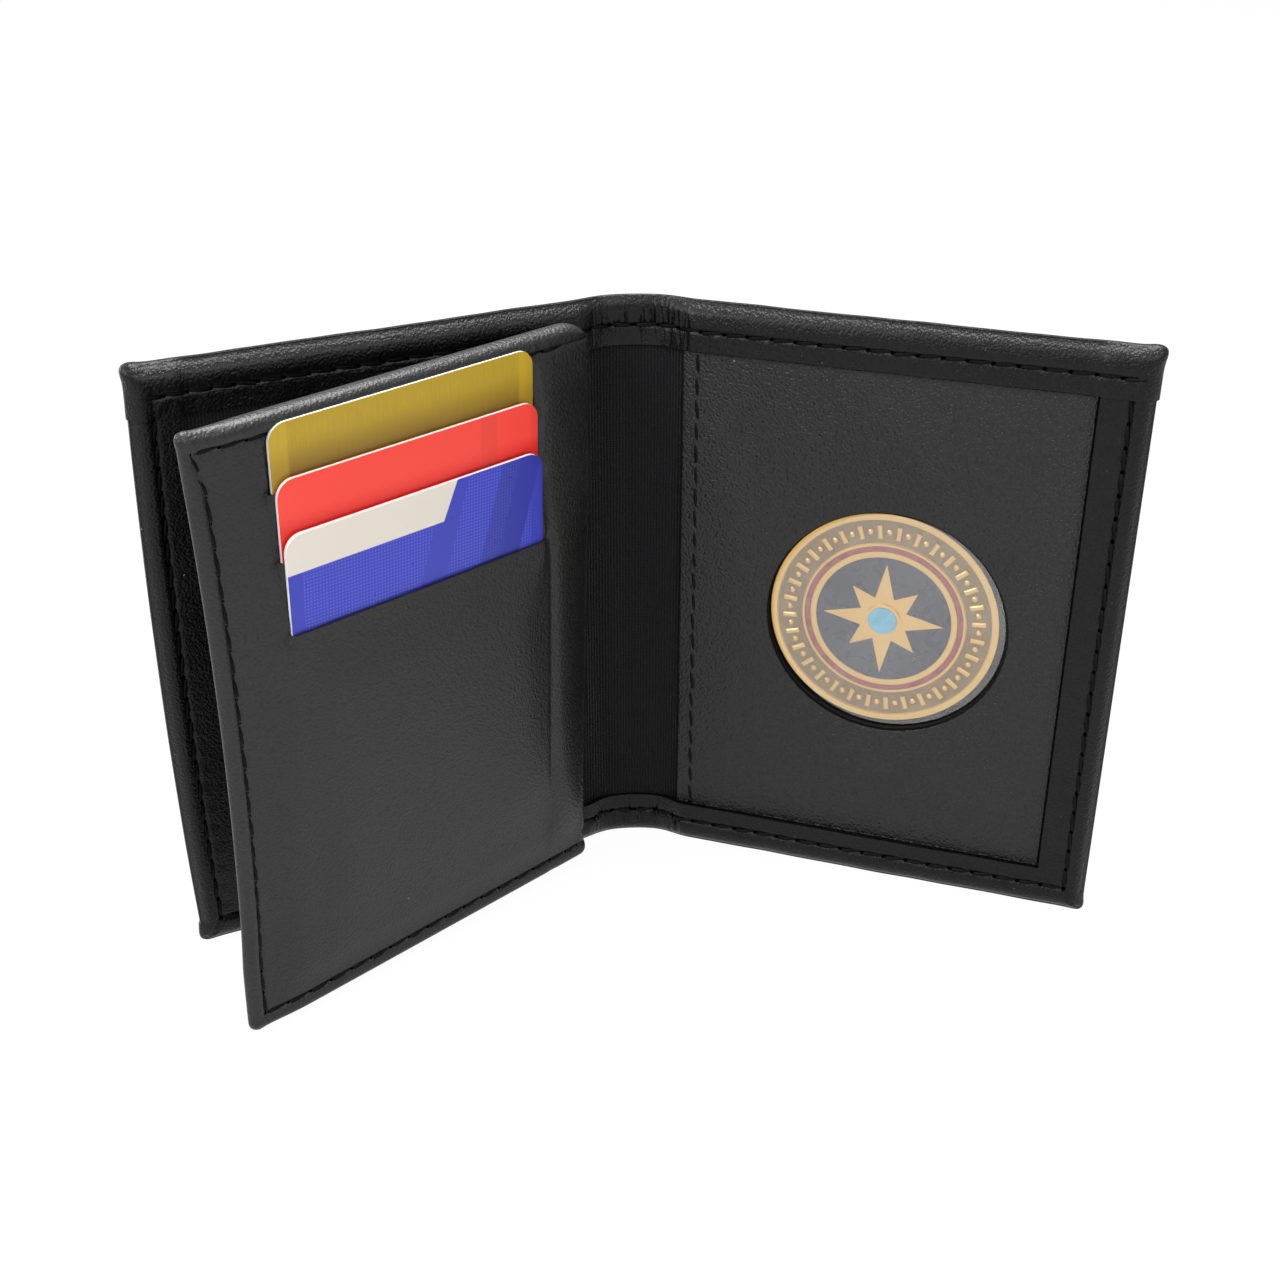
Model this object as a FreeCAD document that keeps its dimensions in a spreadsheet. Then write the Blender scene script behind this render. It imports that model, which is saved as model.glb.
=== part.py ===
import FreeCAD, Part
import Sketcher
import math
import os

# An id badge wallet that stands open on its lower edges. A spine joins two stiff covers along
# two folds, a leaf with three card pockets turns on the left cover, and a round medallion sits
# in a cut-out of the right cover's inner panel.
#
# The row frame: the origin is under the middle of the spine, X runs along the spine towards the
# right cover, Y points out of the spine's back, and Z points up. Each cover and the leaf has a
# frame of its own on its fold axis, with X running out to the free edge.

# name, millimetres or degrees, what it measures
SIZES = [
    ("cover_height", 117.4, "height of the covers and the spine"),
    ("cover_width", 84.0, "fold axis to the free edge of a cover"),
    ("left_angle", 23.0, "how far the left cover is folded in from flat"),
    ("right_angle", 20.5, "how far the right cover is folded in from flat"),
    ("leather", 1.1, "thickness of the cover leather"),
    ("board", 1.0, "thickness of the stiffening boards"),
    ("panel", 1.1, "thickness of the badge panel and the left lining"),
    ("edge_wall", 2.5, "depth of the rolled edge outside the boards"),
    ("edge_rounding", 1.9, "rounding of the rolled edges"),
    ("corner_rounding", 3.0, "rounding of the cover corners"),
    ("hem_width", 9.2, "turned-in hem along the top and bottom of the covers and the spine"),
    ("side_hem_width", 9.3, "turned-in hem along a cover's free edge"),
    ("fold_clearance", 0.3, "gap between a fold bead and the cover that turns on it"),
    ("spine_chord", 20.0, "left fold axis to right fold axis"),
    ("spine_bulge", 2.3, "how far the spine bows out between its folds"),
    ("lining", 0.5, "thickness of the fabric lining of the spine"),
    ("seam_inset", 4.0, "free edge to the middle of a seam"),
    ("hem_seam_inset", 5.4, "top or bottom of a cover to the middle of its hem's seam"),
    ("thread_width", 0.6, "width of a seam's thread"),
    ("thread_height", 0.35, "how far a seam's thread stands up"),
    ("panel_seam_inset", 2.9, "right fold axis to the badge panel's own seam"),
    ("badge_out", 40.5, "right fold axis to the middle of the badge cut-out"),
    ("badge_up", 57.5, "foot of the cover to the middle of the badge cut-out"),
    ("badge_hole", 46.4, "diameter of the badge cut-out"),
    ("medallion_dia", 44.0, "diameter of the medallion"),
    ("medallion_height", 1.2, "thickness of the medallion at its rim"),
    ("medallion_shift", 0.6, "how far the medallion sits to the fold side of its cut-out"),
    ("medallion_rise", 0.7, "how far the medallion sits above the middle of its cut-out"),
    ("rim_width", 1.3, "width of the medallion's rim"),
    ("band_inner", 15.8, "inner radius of the medallion's beaded band"),
    ("band_depth", 0.25, "depth of the band below the rim"),
    ("ring_outer", 15.3, "outer radius of the enamel ring"),
    ("ring_inner", 14.2, "inner radius of the enamel ring"),
    ("field_radius", 13.0, "radius of the enamel field"),
    ("enamel_depth", 0.45, "depth of the channels that hold enamel"),
    ("enamel_drop", 0.12, "how far the enamel lies below the metal"),
    ("star_reach", 11.6, "middle of the medallion to a star point"),
    ("star_waist", 5.0, "middle of the medallion to the star's inner corners"),
    ("boss_radius", 2.6, "radius of the enamel boss in the star"),
    ("bead_dia", 1.1, "diameter of a bead on the band"),
    ("lens_dia", 45.2, "diameter of the clear cover over the medallion"),
    ("lens_height", 0.7, "thickness of the clear cover"),
    ("leaf_angle", 17.7, "how far the leaf stands off the left cover"),
    ("leaf_pivot_out", 3.88, "left fold axis to the leaf's axis, along the cover"),
    ("leaf_pivot_in", 6.345, "left fold axis to the leaf's axis, into the wallet"),
    ("leaf_foot", 1.1, "foot of the covers to the foot of the leaf"),
    ("leaf_height", 114.9, "height of the leaf"),
    ("leaf_reach", 80.0, "leaf axis to the leaf's free edge"),
    ("leaf_hem_width", 7.5, "leather turned in on the leaf's back"),
    ("leaf_seam_up", 3.4, "foot or top of the leaf to the middle of its seam there"),
    ("leaf_seam_in", 3.0, "free edge of the leaf to the middle of its seam there"),
    ("leaf_half", 2.2, "half the thickness of the leaf, and the radius of its hinge bead"),
    ("leaf_leather", 0.8, "thickness of the leaf's leather"),
    ("leaf_rounding", 1.6, "rounding of the leaf's edges"),
    ("hinge_base", 0.7, "thickness of the sewn foot of the leaf's hinge strip"),
    ("hinge_base_reach", 13.0, "left fold axis to the outer side of that foot"),
    ("hinge_web", 3.0, "thickness of the hinge strip's standing web"),
    ("card_width", 53.98, "width of a bank card"),
    ("card_length", 85.6, "length of a bank card"),
    ("card_thick", 0.76, "thickness of a bank card"),
    ("card_corner", 3.18, "corner radius of a bank card"),
    ("card_play", 0.06, "gap on each side of a card in its pocket"),
    ("card_side_play", 0.76, "gap at each edge of a card in its pocket"),
    ("pocket_inner", 11.3, "leaf axis to the pockets' inner ends"),
    ("pocket_wall", 1.5, "leather beyond each end of a pocket"),
    ("pocket_tilt", 1.8, "lean of the cards towards the front at their tops"),
    ("pocket_back", -1.05, "back of the rear card at the foot of the pockets, from the leaf's middle"),
    ("pocket_foot", 8.9, "foot of the leaf to the foot of the lowest pocket"),
    ("strip", 0.4, "thickness of the leather strip between two cards"),
    ("pocket_front", 0.7, "thickness of the leather in front of the lowest card"),
    ("pocket_lining", 0.3, "thickness of a pocket lining"),
    ("strip_overlap", 1.5, "how far a strip runs on below the next slit"),
    ("gold_slit", 92.6, "pocket foot to the upper slit"),
    ("red_slit", 80.8, "pocket foot to the middle slit"),
    ("blue_slit", 67.9, "pocket foot to the lower slit"),
    ("gold_foot", 18.7, "pocket foot to the foot of the gold card"),
    ("red_foot", 9.4, "pocket foot to the foot of the red card"),
    ("blue_foot", 0.2, "pocket foot to the foot of the blue card"),
    ("pocket_top", 103.0, "pocket foot to the top of the strip behind the gold card"),
]

STAR_POINTS = 8
BEADS = 40
PAST = 10.0  # how far a cutting tool runs past the face it leaves through

doc = FreeCAD.newDocument("id_badge_wallet")
sheet = doc.addObject("Spreadsheet::Sheet", "sizes")
for row, (alias, value, meaning) in enumerate(SIZES, 1):
    sheet.set(f"A{row}", alias)
    sheet.set(f"B{row}", str(value))
    sheet.set(f"C{row}", meaning)
    sheet.setAlias(f"B{row}", alias)
doc.recompute()

nodes = []


def size(alias):
    """The expression that reads one driving size."""
    return f"sizes.{alias}"


# Sizes that follow from the driving ones.
SPINE_THICK = "(2*sizes.leather + sizes.lining)"
BEAD = f"({SPINE_THICK}/2)"
COVER_THICK = "(2*sizes.leather + sizes.board + sizes.panel)"
COVER_START = f"({BEAD} + sizes.fold_clearance)"
COVER_OUT = BEAD
BOARD_OUT = f"({BEAD} - sizes.leather)"
PANEL_OUT = f"({BOARD_OUT} - sizes.board)"
PANEL_IN = f"({PANEL_OUT} - sizes.panel)"
COVER_IN = f"({BEAD} - {COVER_THICK})"
SPINE_RADIUS = "((sizes.spine_chord^2/4 + sizes.spine_bulge^2)/(2*sizes.spine_bulge))"
SPINE_HALF = f"asin(sizes.spine_chord/2/{SPINE_RADIUS})"
LINING_HALF = f"({SPINE_HALF} - asin({COVER_START}/{SPINE_RADIUS}))"
TOP = "sizes.cover_height"
HEM_TOP = "(sizes.cover_height - sizes.hem_width)"
WALL_TOP = "(sizes.cover_height - sizes.edge_wall)"
SEAM_TOP = "(sizes.cover_height - sizes.hem_seam_inset)"
LEAF_TOP = "sizes.leaf_height"
LEAF_HEM_TOP = "(sizes.leaf_height - sizes.leaf_hem_width)"
LEAF_WALL_TOP = "(sizes.leaf_height - sizes.edge_wall)"
LEAF_SEAM_TOP = "(sizes.leaf_height - sizes.leaf_seam_up)"
LEAF_BACK = "(-sizes.leaf_half)"
LEAF_BACK_FACE = "(-sizes.leaf_half + sizes.leaf_leather)"
LEAF_CORE_BACK = "(-sizes.leaf_half + 2*sizes.leaf_leather)"
LEAF_CORE_FRONT = "(sizes.leaf_half - sizes.leaf_leather)"
LEAF_START = "(sizes.leaf_half + sizes.fold_clearance)"
POCKET_OUTER = "(sizes.pocket_inner + sizes.card_width + 2*sizes.card_side_play)"
CARD_PITCH = "(sizes.card_thick + 2*sizes.card_play + sizes.strip)"

# Where each moving group stands in the row frame.
UP = "vector(0; 0; 1)"
ALONG = "vector(1; 0; 0)"
RIGHT = (
    "placement(vector(sizes.spine_chord/2; -sizes.spine_bulge; 0);"
    f" rotation({UP}; -sizes.right_angle))"
)
LEFT = (
    "placement(vector(-sizes.spine_chord/2; -sizes.spine_bulge; 0);"
    f" rotation({UP}; 180 + sizes.left_angle))"
)
LEAF = (
    f"{LEFT} * placement(vector(sizes.leaf_pivot_out; sizes.leaf_pivot_in; sizes.leaf_foot);"
    f" rotation({UP}; sizes.leaf_angle))"
)
POCKET = (
    f"{LEAF} * placement(vector(0; sizes.pocket_back; sizes.pocket_foot);"
    f" rotation({ALONG}; -sizes.pocket_tilt))"
)
BADGE = (
    f"{RIGHT} * placement(vector(sizes.badge_out; {BOARD_OUT}; sizes.badge_up);"
    f" rotation({ALONG}; 90))"
)
MEDALLION = (
    f"{BADGE} * placement(vector(-sizes.medallion_shift; sizes.medallion_rise; 0);"
    f" rotation({UP}; 0))"
)


def node(label, shown, place=None):
    """Name a finished piece, put it in its place and keep it for export."""
    shown.Label = label
    if place:
        shown.setExpression("Placement", place)
    nodes.append(shown)
    return shown


def body(label, place=None):
    """A new solid body for one piece."""
    return node(label, doc.addObject("PartDesign::Body", label), place)


def sketch(owner, name, role, offset):
    """An empty sketch on one of the body's origin planes, moved along the plane's normal."""
    made = owner.newObject("Sketcher::SketchObject", f"{owner.Name}_{name}")
    plane = next(f for f in owner.Origin.OriginFeatures if f.Role == role)
    made.AttachmentSupport = [(plane, "")]
    made.MapMode = "FlatFace"
    made.setExpression("AttachmentOffset.Base.z", offset)
    return made


def outline(owner, name, role, points, offset="0"):
    """A closed sketch through points given as pairs of expressions."""
    made = sketch(owner, name, role, offset)
    count = len(points)
    corner = [
        FreeCAD.Vector(math.cos(2*math.pi*i/count), math.sin(2*math.pi*i/count), 0)
        for i in range(count)
    ]
    for i in range(count):
        made.addGeometry(Part.LineSegment(corner[i], corner[(i + 1) % count]), False)
    for i in range(count):
        made.addConstraint(Sketcher.Constraint("Coincident", i, 2, (i + 1) % count, 1))
    for i, pair in enumerate(points):
        for kind, value in zip(("DistanceX", "DistanceY"), pair):
            held = made.addConstraint(Sketcher.Constraint(kind, -1, 1, i, 1, 1.0))
            made.setExpression(f"Constraints[{held}]", value)
    return made


def circle(owner, name, role, across, up, radius, offset="0"):
    """A sketch of one circle."""
    made = sketch(owner, name, role, offset)
    made.addGeometry(Part.Circle(FreeCAD.Vector(1, 1, 0), FreeCAD.Vector(0, 0, 1), 1), False)
    for kind, value in (("DistanceX", across), ("DistanceY", up)):
        held = made.addConstraint(Sketcher.Constraint(kind, -1, 1, 0, 3, 1.0))
        made.setExpression(f"Constraints[{held}]", value)
    held = made.addConstraint(Sketcher.Constraint("Radius", 0, 1.0))
    made.setExpression(f"Constraints[{held}]", radius)
    return made


def pad(owner, profile, length):
    """Raise a sketch along its plane's normal."""
    made = owner.newObject("PartDesign::Pad", f"{profile.Name}_pad")
    made.Profile = profile
    made.setExpression("Length", length)
    doc.recompute()
    return made


def cut(owner, profile, length):
    """Cut a sketch away along its plane's normal."""
    made = owner.newObject("PartDesign::Pocket", f"{profile.Name}_cut")
    made.Profile = profile
    made.Reversed = True
    made.setExpression("Length", length)
    doc.recompute()
    return made


def rectangle(left, right, low, high):
    """The four corners of a rectangle."""
    return [(left, low), (right, low), (right, high), (left, high)]


def slab(owner, name, x, y, z, act=pad):
    """Add or cut a block between three pairs of limits."""
    profile = outline(owner, name, "XY_Plane", rectangle(*x, *y), z[0])
    return act(owner, profile, f"{z[1]} - {z[0]}")


def plate(owner, name, points, y, act=pad):
    """Add or cut an upright plate with any outline, between two depths."""
    profile = outline(owner, name, "XZ_Plane", points, f"-({y[1]})")
    return act(owner, profile, f"{y[1]} - ({y[0]})")


def rail(owner, name, points, x, act=pad):
    """Add or cut a side profile that runs along X."""
    profile = outline(owner, name, "YZ_Plane", points, x[0])
    return act(owner, profile, f"{x[1]} - {x[0]}")


def rounded(owner, feature, radius, wanted):
    """Round the edges of a feature that the test picks by middle and direction."""
    names = []
    for number, edge in enumerate(feature.Shape.Edges, 1):
        middle = edge.CenterOfMass
        along = edge.tangentAt(edge.FirstParameter)
        if wanted(middle, along):
            names.append(f"Edge{number}")
    made = owner.newObject("PartDesign::Fillet", f"{feature.Name}_round")
    made.Base = (feature, names)
    made.setExpression("Radius", radius)
    doc.recompute()
    return made


def ordered(side, low, high):
    """Depth limits in rising order: the right cover's outside is +Y, the left cover's is -Y."""
    if side > 0:
        return (low, high)
    return (f"(-({high}))", f"(-({low}))")


def seam_frame(outer):
    """A thread that runs along the top, the free edge and the bottom."""
    half = "sizes.thread_width/2"
    free = f"({outer} - sizes.seam_inset)"
    return [
        (COVER_START, f"sizes.hem_seam_inset - {half}"),
        (f"{free} + {half}", f"sizes.hem_seam_inset - {half}"),
        (f"{free} + {half}", f"{SEAM_TOP} + {half}"),
        (COVER_START, f"{SEAM_TOP} + {half}"),
        (COVER_START, f"{SEAM_TOP} - {half}"),
        (f"{free} - {half}", f"{SEAM_TOP} - {half}"),
        (f"{free} - {half}", f"sizes.hem_seam_inset + {half}"),
        (COVER_START, f"sizes.hem_seam_inset + {half}"),
    ]


def edge_rounding(owner, base, radius, corner, start, reach):
    """Round a panel's two free corners, then every edge but those at its hinge end."""
    cornered = rounded(
        owner, base, corner,
        lambda middle, along: middle.x > reach - 0.01 and abs(along.y) > 0.9,
    )
    return rounded(
        owner, cornered, radius,
        lambda middle, along: middle.x > start + 0.01 and abs(along.y) < 0.1,
    )


def cover_leather(label, place, side):
    """The outer leather of a cover: a sheet whose edges are turned in to hems on three sides."""
    made = body(label, place)
    base = slab(
        made, "block", (COVER_START, size("cover_width")),
        ordered(side, COVER_IN, COVER_OUT), ("0", TOP),
    )
    start = base.Shape.BoundBox.XMin
    edge_rounding(
        made, base, size("edge_rounding"), size("corner_rounding"), start, sheet.cover_width,
    )
    slab(
        made, "filling", (f"{COVER_START} - {PAST}", "sizes.cover_width - sizes.edge_wall"),
        ordered(side, PANEL_IN, BOARD_OUT), (size("edge_wall"), WALL_TOP), cut,
    )
    slab(
        made, "window", (f"{COVER_START} - {PAST}", "sizes.cover_width - sizes.side_hem_width"),
        ordered(side, f"{COVER_IN} - {PAST}", PANEL_IN), (size("hem_width"), HEM_TOP), cut,
    )
    return made


def cover_layer(label, place, side, low, high):
    """A flat layer that lies inside the turned edges of a cover."""
    made = body(label, place)
    slab(
        made, "sheet", (COVER_START, "sizes.cover_width - sizes.edge_wall"),
        ordered(side, low, high), (size("edge_wall"), WALL_TOP),
    )
    return made


def cover_seam(label, place, side):
    """The thread that holds a cover's hems down."""
    made = body(label, place)
    depth = ordered(side, f"({COVER_IN} - sizes.thread_height)", COVER_IN)
    plate(made, "thread", seam_frame(size("cover_width")), depth)
    return made


def badge_hole(owner):
    """The round cut-out that the medallion lies in."""
    profile = circle(
        owner, "hole", "XZ_Plane", size("badge_out"), size("badge_up"), "sizes.badge_hole/2",
        f"-{PAST}",
    )
    cut(owner, profile, f"2*{PAST}")


def sector(name, inner, outer, low, high, half):
    """A piece of a ring about the spine's centre of curvature."""
    wide = doc.addObject("Part::Cylinder", f"{name}_outside")
    hollow = doc.addObject("Part::Cylinder", f"{name}_inside")
    for cylinder, radius in ((wide, outer), (hollow, inner)):
        cylinder.setExpression("Radius", radius)
        cylinder.setExpression("Height", f"{high} - {low}")
        cylinder.setExpression(
            "Placement",
            f"placement(vector(0; -{SPINE_RADIUS}; {low}); rotation({UP}; 90 deg - {half}))",
        )
    wide.setExpression("Angle", f"2*{half}")
    made = doc.addObject("Part::Cut", name)
    made.Base = wide
    made.Tool = hollow
    return made


def fold_bead(name, across):
    """The rolled bead at one end of the spine, on a fold axis."""
    made = doc.addObject("Part::Cylinder", name)
    made.setExpression("Radius", BEAD)
    made.setExpression("Height", TOP)
    made.setExpression(
        "Placement",
        f"placement(vector({across}; -sizes.spine_bulge; 0); rotation({UP}; 0))",
    )
    return made


def fused(name, *pieces):
    """Several shapes as one."""
    made = doc.addObject("Part::MultiFuse", name)
    made.Shapes = list(pieces)
    return made


def spine_pieces():
    """The bowed spine: leather with hems top and bottom, a fabric lining, and two seams."""
    whole = fused(
        "spine_block",
        sector(
            "spine_wall", f"{SPINE_RADIUS} - {BEAD}", f"{SPINE_RADIUS} + {BEAD}",
            "0", TOP, SPINE_HALF,
        ),
        fold_bead("spine_left_bead", "-sizes.spine_chord/2"),
        fold_bead("spine_right_bead", "sizes.spine_chord/2"),
    )
    lining_in = f"{SPINE_RADIUS} - sizes.lining/2"
    lining_out = f"{SPINE_RADIUS} + sizes.lining/2"
    lining_top = "(sizes.cover_height - sizes.leather)"
    opening = fused(
        "spine_opening",
        sector("spine_slot", lining_in, lining_out, "sizes.leather", lining_top, LINING_HALF),
        sector(
            "spine_window", f"{SPINE_RADIUS} - {BEAD} - {PAST}/10", lining_in,
            "sizes.hem_width", HEM_TOP, LINING_HALF,
        ),
    )
    leather = doc.addObject("Part::Cut", "spine_shell")
    leather.Base = whole
    leather.Tool = opening
    node("spine_leather", leather)
    node(
        "spine_lining",
        sector("spine_cloth", lining_in, lining_out, "sizes.leather", lining_top, LINING_HALF),
    )
    thread_in = f"{SPINE_RADIUS} - {BEAD} - sizes.thread_height"
    thread_out = f"{SPINE_RADIUS} - {BEAD}"
    threads = []
    rows = (("spine_low_thread", "sizes.hem_seam_inset"), ("spine_top_thread", SEAM_TOP))
    for name, middle in rows:
        low = f"({middle} - sizes.thread_width/2)"
        high = f"({middle} + sizes.thread_width/2)"
        threads.append(sector(name, thread_in, thread_out, low, high, LINING_HALF))
    node("spine_seams", fused("spine_threads", *threads))


def left_cover_pieces():
    """The left cover, its lining, and the strip that the leaf turns on."""
    cover_leather("left_cover_leather", LEFT, -1)
    cover_layer("left_cover_board", LEFT, -1, PANEL_OUT, BOARD_OUT)
    cover_layer("left_cover_lining", LEFT, -1, PANEL_IN, PANEL_OUT)
    cover_seam("left_cover_seam", LEFT, -1)
    strip = body("leaf_hinge_strip", LEFT)
    foot = f"(-{PANEL_IN})"
    foot_top = f"({foot} + sizes.hinge_base)"
    web_top = "sizes.leaf_pivot_in - sizes.leaf_half - sizes.fold_clearance"
    web_in = "sizes.leaf_pivot_out - sizes.hinge_web/2"
    web_out = "sizes.leaf_pivot_out + sizes.hinge_web/2"
    foot_in = f"({COVER_START} + sizes.fold_clearance)"
    profile = outline(
        strip, "profile", "XY_Plane",
        [
            (foot_in, foot), (size("hinge_base_reach"), foot),
            (size("hinge_base_reach"), foot_top), (web_out, foot_top),
            (web_out, web_top), (web_in, web_top), (web_in, foot_top), (foot_in, foot_top),
        ],
        size("hem_width"),
    )
    pad(strip, profile, f"{HEM_TOP} - sizes.hem_width")


def right_cover_pieces():
    """The right cover with the badge panel and its seam."""
    cover_leather("right_cover_leather", RIGHT, 1)
    badge_hole(cover_layer("right_cover_board", RIGHT, 1, PANEL_OUT, BOARD_OUT))
    badge_hole(cover_layer("badge_panel", RIGHT, 1, PANEL_IN, PANEL_OUT))
    cover_seam("right_cover_seam", RIGHT, 1)
    seam = body("badge_panel_seam", RIGHT)
    slab(
        seam, "thread",
        (
            "sizes.panel_seam_inset - sizes.thread_width/2",
            "sizes.panel_seam_inset + sizes.thread_width/2",
        ),
        (f"({PANEL_IN} - sizes.thread_height)", PANEL_IN), (size("hem_width"), HEM_TOP),
    )


def turned(owner, name, points):
    """A ring or disc from half of its section."""
    made = owner.newObject("PartDesign::Revolution", f"{owner.Name}_{name}_turned")
    made.Profile = outline(owner, name, "XZ_Plane", points)
    made.ReferenceAxis = (made.Profile[0], ["V_Axis"])
    made.Angle = 360
    doc.recompute()
    return made


def star():
    """The corners of the star, points and waist in turn."""
    corners = []
    for i in range(2*STAR_POINTS):
        reach = size("star_reach") if i % 2 == 0 else size("star_waist")
        angle = 90 + i*180/STAR_POINTS
        corners.append((f"{reach}*cos({angle})", f"{reach}*sin({angle})"))
    return corners


def medallion_pieces():
    """The metal medallion, its enamel and the clear cover."""
    rim = "sizes.medallion_dia/2"
    top = "sizes.medallion_height"
    band = f"{top} - sizes.band_depth"
    floor = f"({top} - sizes.enamel_depth)"
    enamel = f"({top} - sizes.enamel_drop)"
    metal = body("medallion", MEDALLION)
    turned(
        metal, "section",
        [
            ("0", "0"), (rim, "0"), (rim, top), (f"{rim} - sizes.rim_width", top),
            (f"{rim} - sizes.rim_width", band), (size("band_inner"), band),
            (size("band_inner"), top), (size("ring_outer"), top), (size("ring_outer"), floor),
            (size("ring_inner"), floor), (size("ring_inner"), top), (size("field_radius"), top),
            (size("field_radius"), floor), ("0", floor),
        ],
    )
    pad(metal, outline(metal, "star", "XY_Plane", star(), floor), "sizes.enamel_depth")
    cut(metal, circle(metal, "cup", "XY_Plane", "0", "0", size("boss_radius"), floor),
        "sizes.enamel_depth")
    bead_circle = f"(({rim} - sizes.rim_width + sizes.band_inner)/2)"
    first = pad(
        metal,
        circle(metal, "bead", "XY_Plane", bead_circle, "0", "sizes.bead_dia/2", band),
        "sizes.band_depth",
    )
    ring = metal.newObject("PartDesign::PolarPattern", "medallion_beads")
    ring.Originals = [first]
    ring.Axis = (metal.Origin.OriginFeatures[2], [""])
    ring.Angle = 360
    ring.Occurrences = BEADS
    metal.Tip = ring
    field = body("enamel_field", MEDALLION)
    depth = f"{enamel} - {floor}"
    pad(field, circle(field, "disc", "XY_Plane", "0", "0", size("field_radius"), floor), depth)
    cut(field, outline(field, "star", "XY_Plane", star(), floor), depth)
    colour = body("enamel_ring", MEDALLION)
    turned(
        colour, "section",
        rectangle(size("ring_inner"), size("ring_outer"), floor, enamel),
    )
    boss = body("enamel_boss", MEDALLION)
    pad(boss, circle(boss, "disc", "XY_Plane", "0", "0", size("boss_radius"), floor), depth)
    lens = body("medallion_lens", BADGE)
    pad(lens, circle(lens, "disc", "XY_Plane", "0", "0", "sizes.lens_dia/2", top),
        "sizes.lens_height")


def tilted(depth, rise):
    """A point of the pockets' leaning section, in the leaf's own frame."""
    lean = "sin(sizes.pocket_tilt)"
    stand = "cos(sizes.pocket_tilt)"
    return (
        f"sizes.pocket_back + ({depth})*{stand} + ({rise})*{lean}",
        f"sizes.pocket_foot - ({depth})*{lean} + ({rise})*{stand}",
    )


CARDS = ["gold", "red", "blue"]


def card_back(order):
    """Depth of the back of a card, counted from the rear one."""
    return f"({order}*{CARD_PITCH})"


def pocket_block():
    """The stepped section of the pocket leather: each slit's lower lip stands further forward."""
    below = "-sizes.strip_overlap"
    rear = [card_back(i) for i in range(3)]
    lips = [f"{rear[i]} - sizes.card_play" for i in range(3)]
    front = f"{rear[2]} + sizes.card_thick + sizes.card_play + sizes.pocket_front"
    points = [(LEAF_BACK_FACE, f"sizes.pocket_foot + {below}"), tilted(front, below)]
    points += [tilted(front, size("blue_slit")), tilted(lips[2], size("blue_slit"))]
    points += [tilted(lips[2], size("red_slit")), tilted(lips[1], size("red_slit"))]
    points += [tilted(lips[1], size("gold_slit")), tilted(lips[0], size("gold_slit"))]
    points += [tilted(lips[0], size("pocket_top"))]
    points += [(LEAF_BACK_FACE, "sizes.pocket_foot + sizes.pocket_top")]
    return points


def pocket_space(order, colour):
    """The section of one pocket: room for the card, and for the lining behind it under the slit."""
    near = f"{card_back(order)} + sizes.card_thick + sizes.card_play"
    rear = f"{card_back(order)} - sizes.card_play"
    deep = f"{rear} - sizes.strip"
    foot = f"sizes.{colour}_foot"
    neck = f"sizes.{colour}_slit - sizes.strip_overlap"
    out = f"sizes.pocket_top + {PAST}*2"
    return [
        tilted(near, foot), tilted(near, out), tilted(rear, out),
        tilted(rear, neck), tilted(deep, neck), tilted(deep, foot),
    ]


def leaf_seam_frame():
    """The leaf's thread: along the foot and the free edge, and at the top as far as the cards."""
    half = "sizes.thread_width/2"
    free = "(sizes.leaf_reach - sizes.leaf_seam_in)"
    stop = f"({POCKET_OUTER} + sizes.pocket_wall)"
    return [
        (LEAF_START, f"sizes.leaf_seam_up - {half}"),
        (f"{free} + {half}", f"sizes.leaf_seam_up - {half}"),
        (f"{free} + {half}", f"{LEAF_SEAM_TOP} + {half}"),
        (stop, f"{LEAF_SEAM_TOP} + {half}"),
        (stop, f"{LEAF_SEAM_TOP} - {half}"),
        (f"{free} - {half}", f"{LEAF_SEAM_TOP} - {half}"),
        (f"{free} - {half}", f"sizes.leaf_seam_up + {half}"),
        (LEAF_START, f"sizes.leaf_seam_up + {half}"),
    ]


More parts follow.
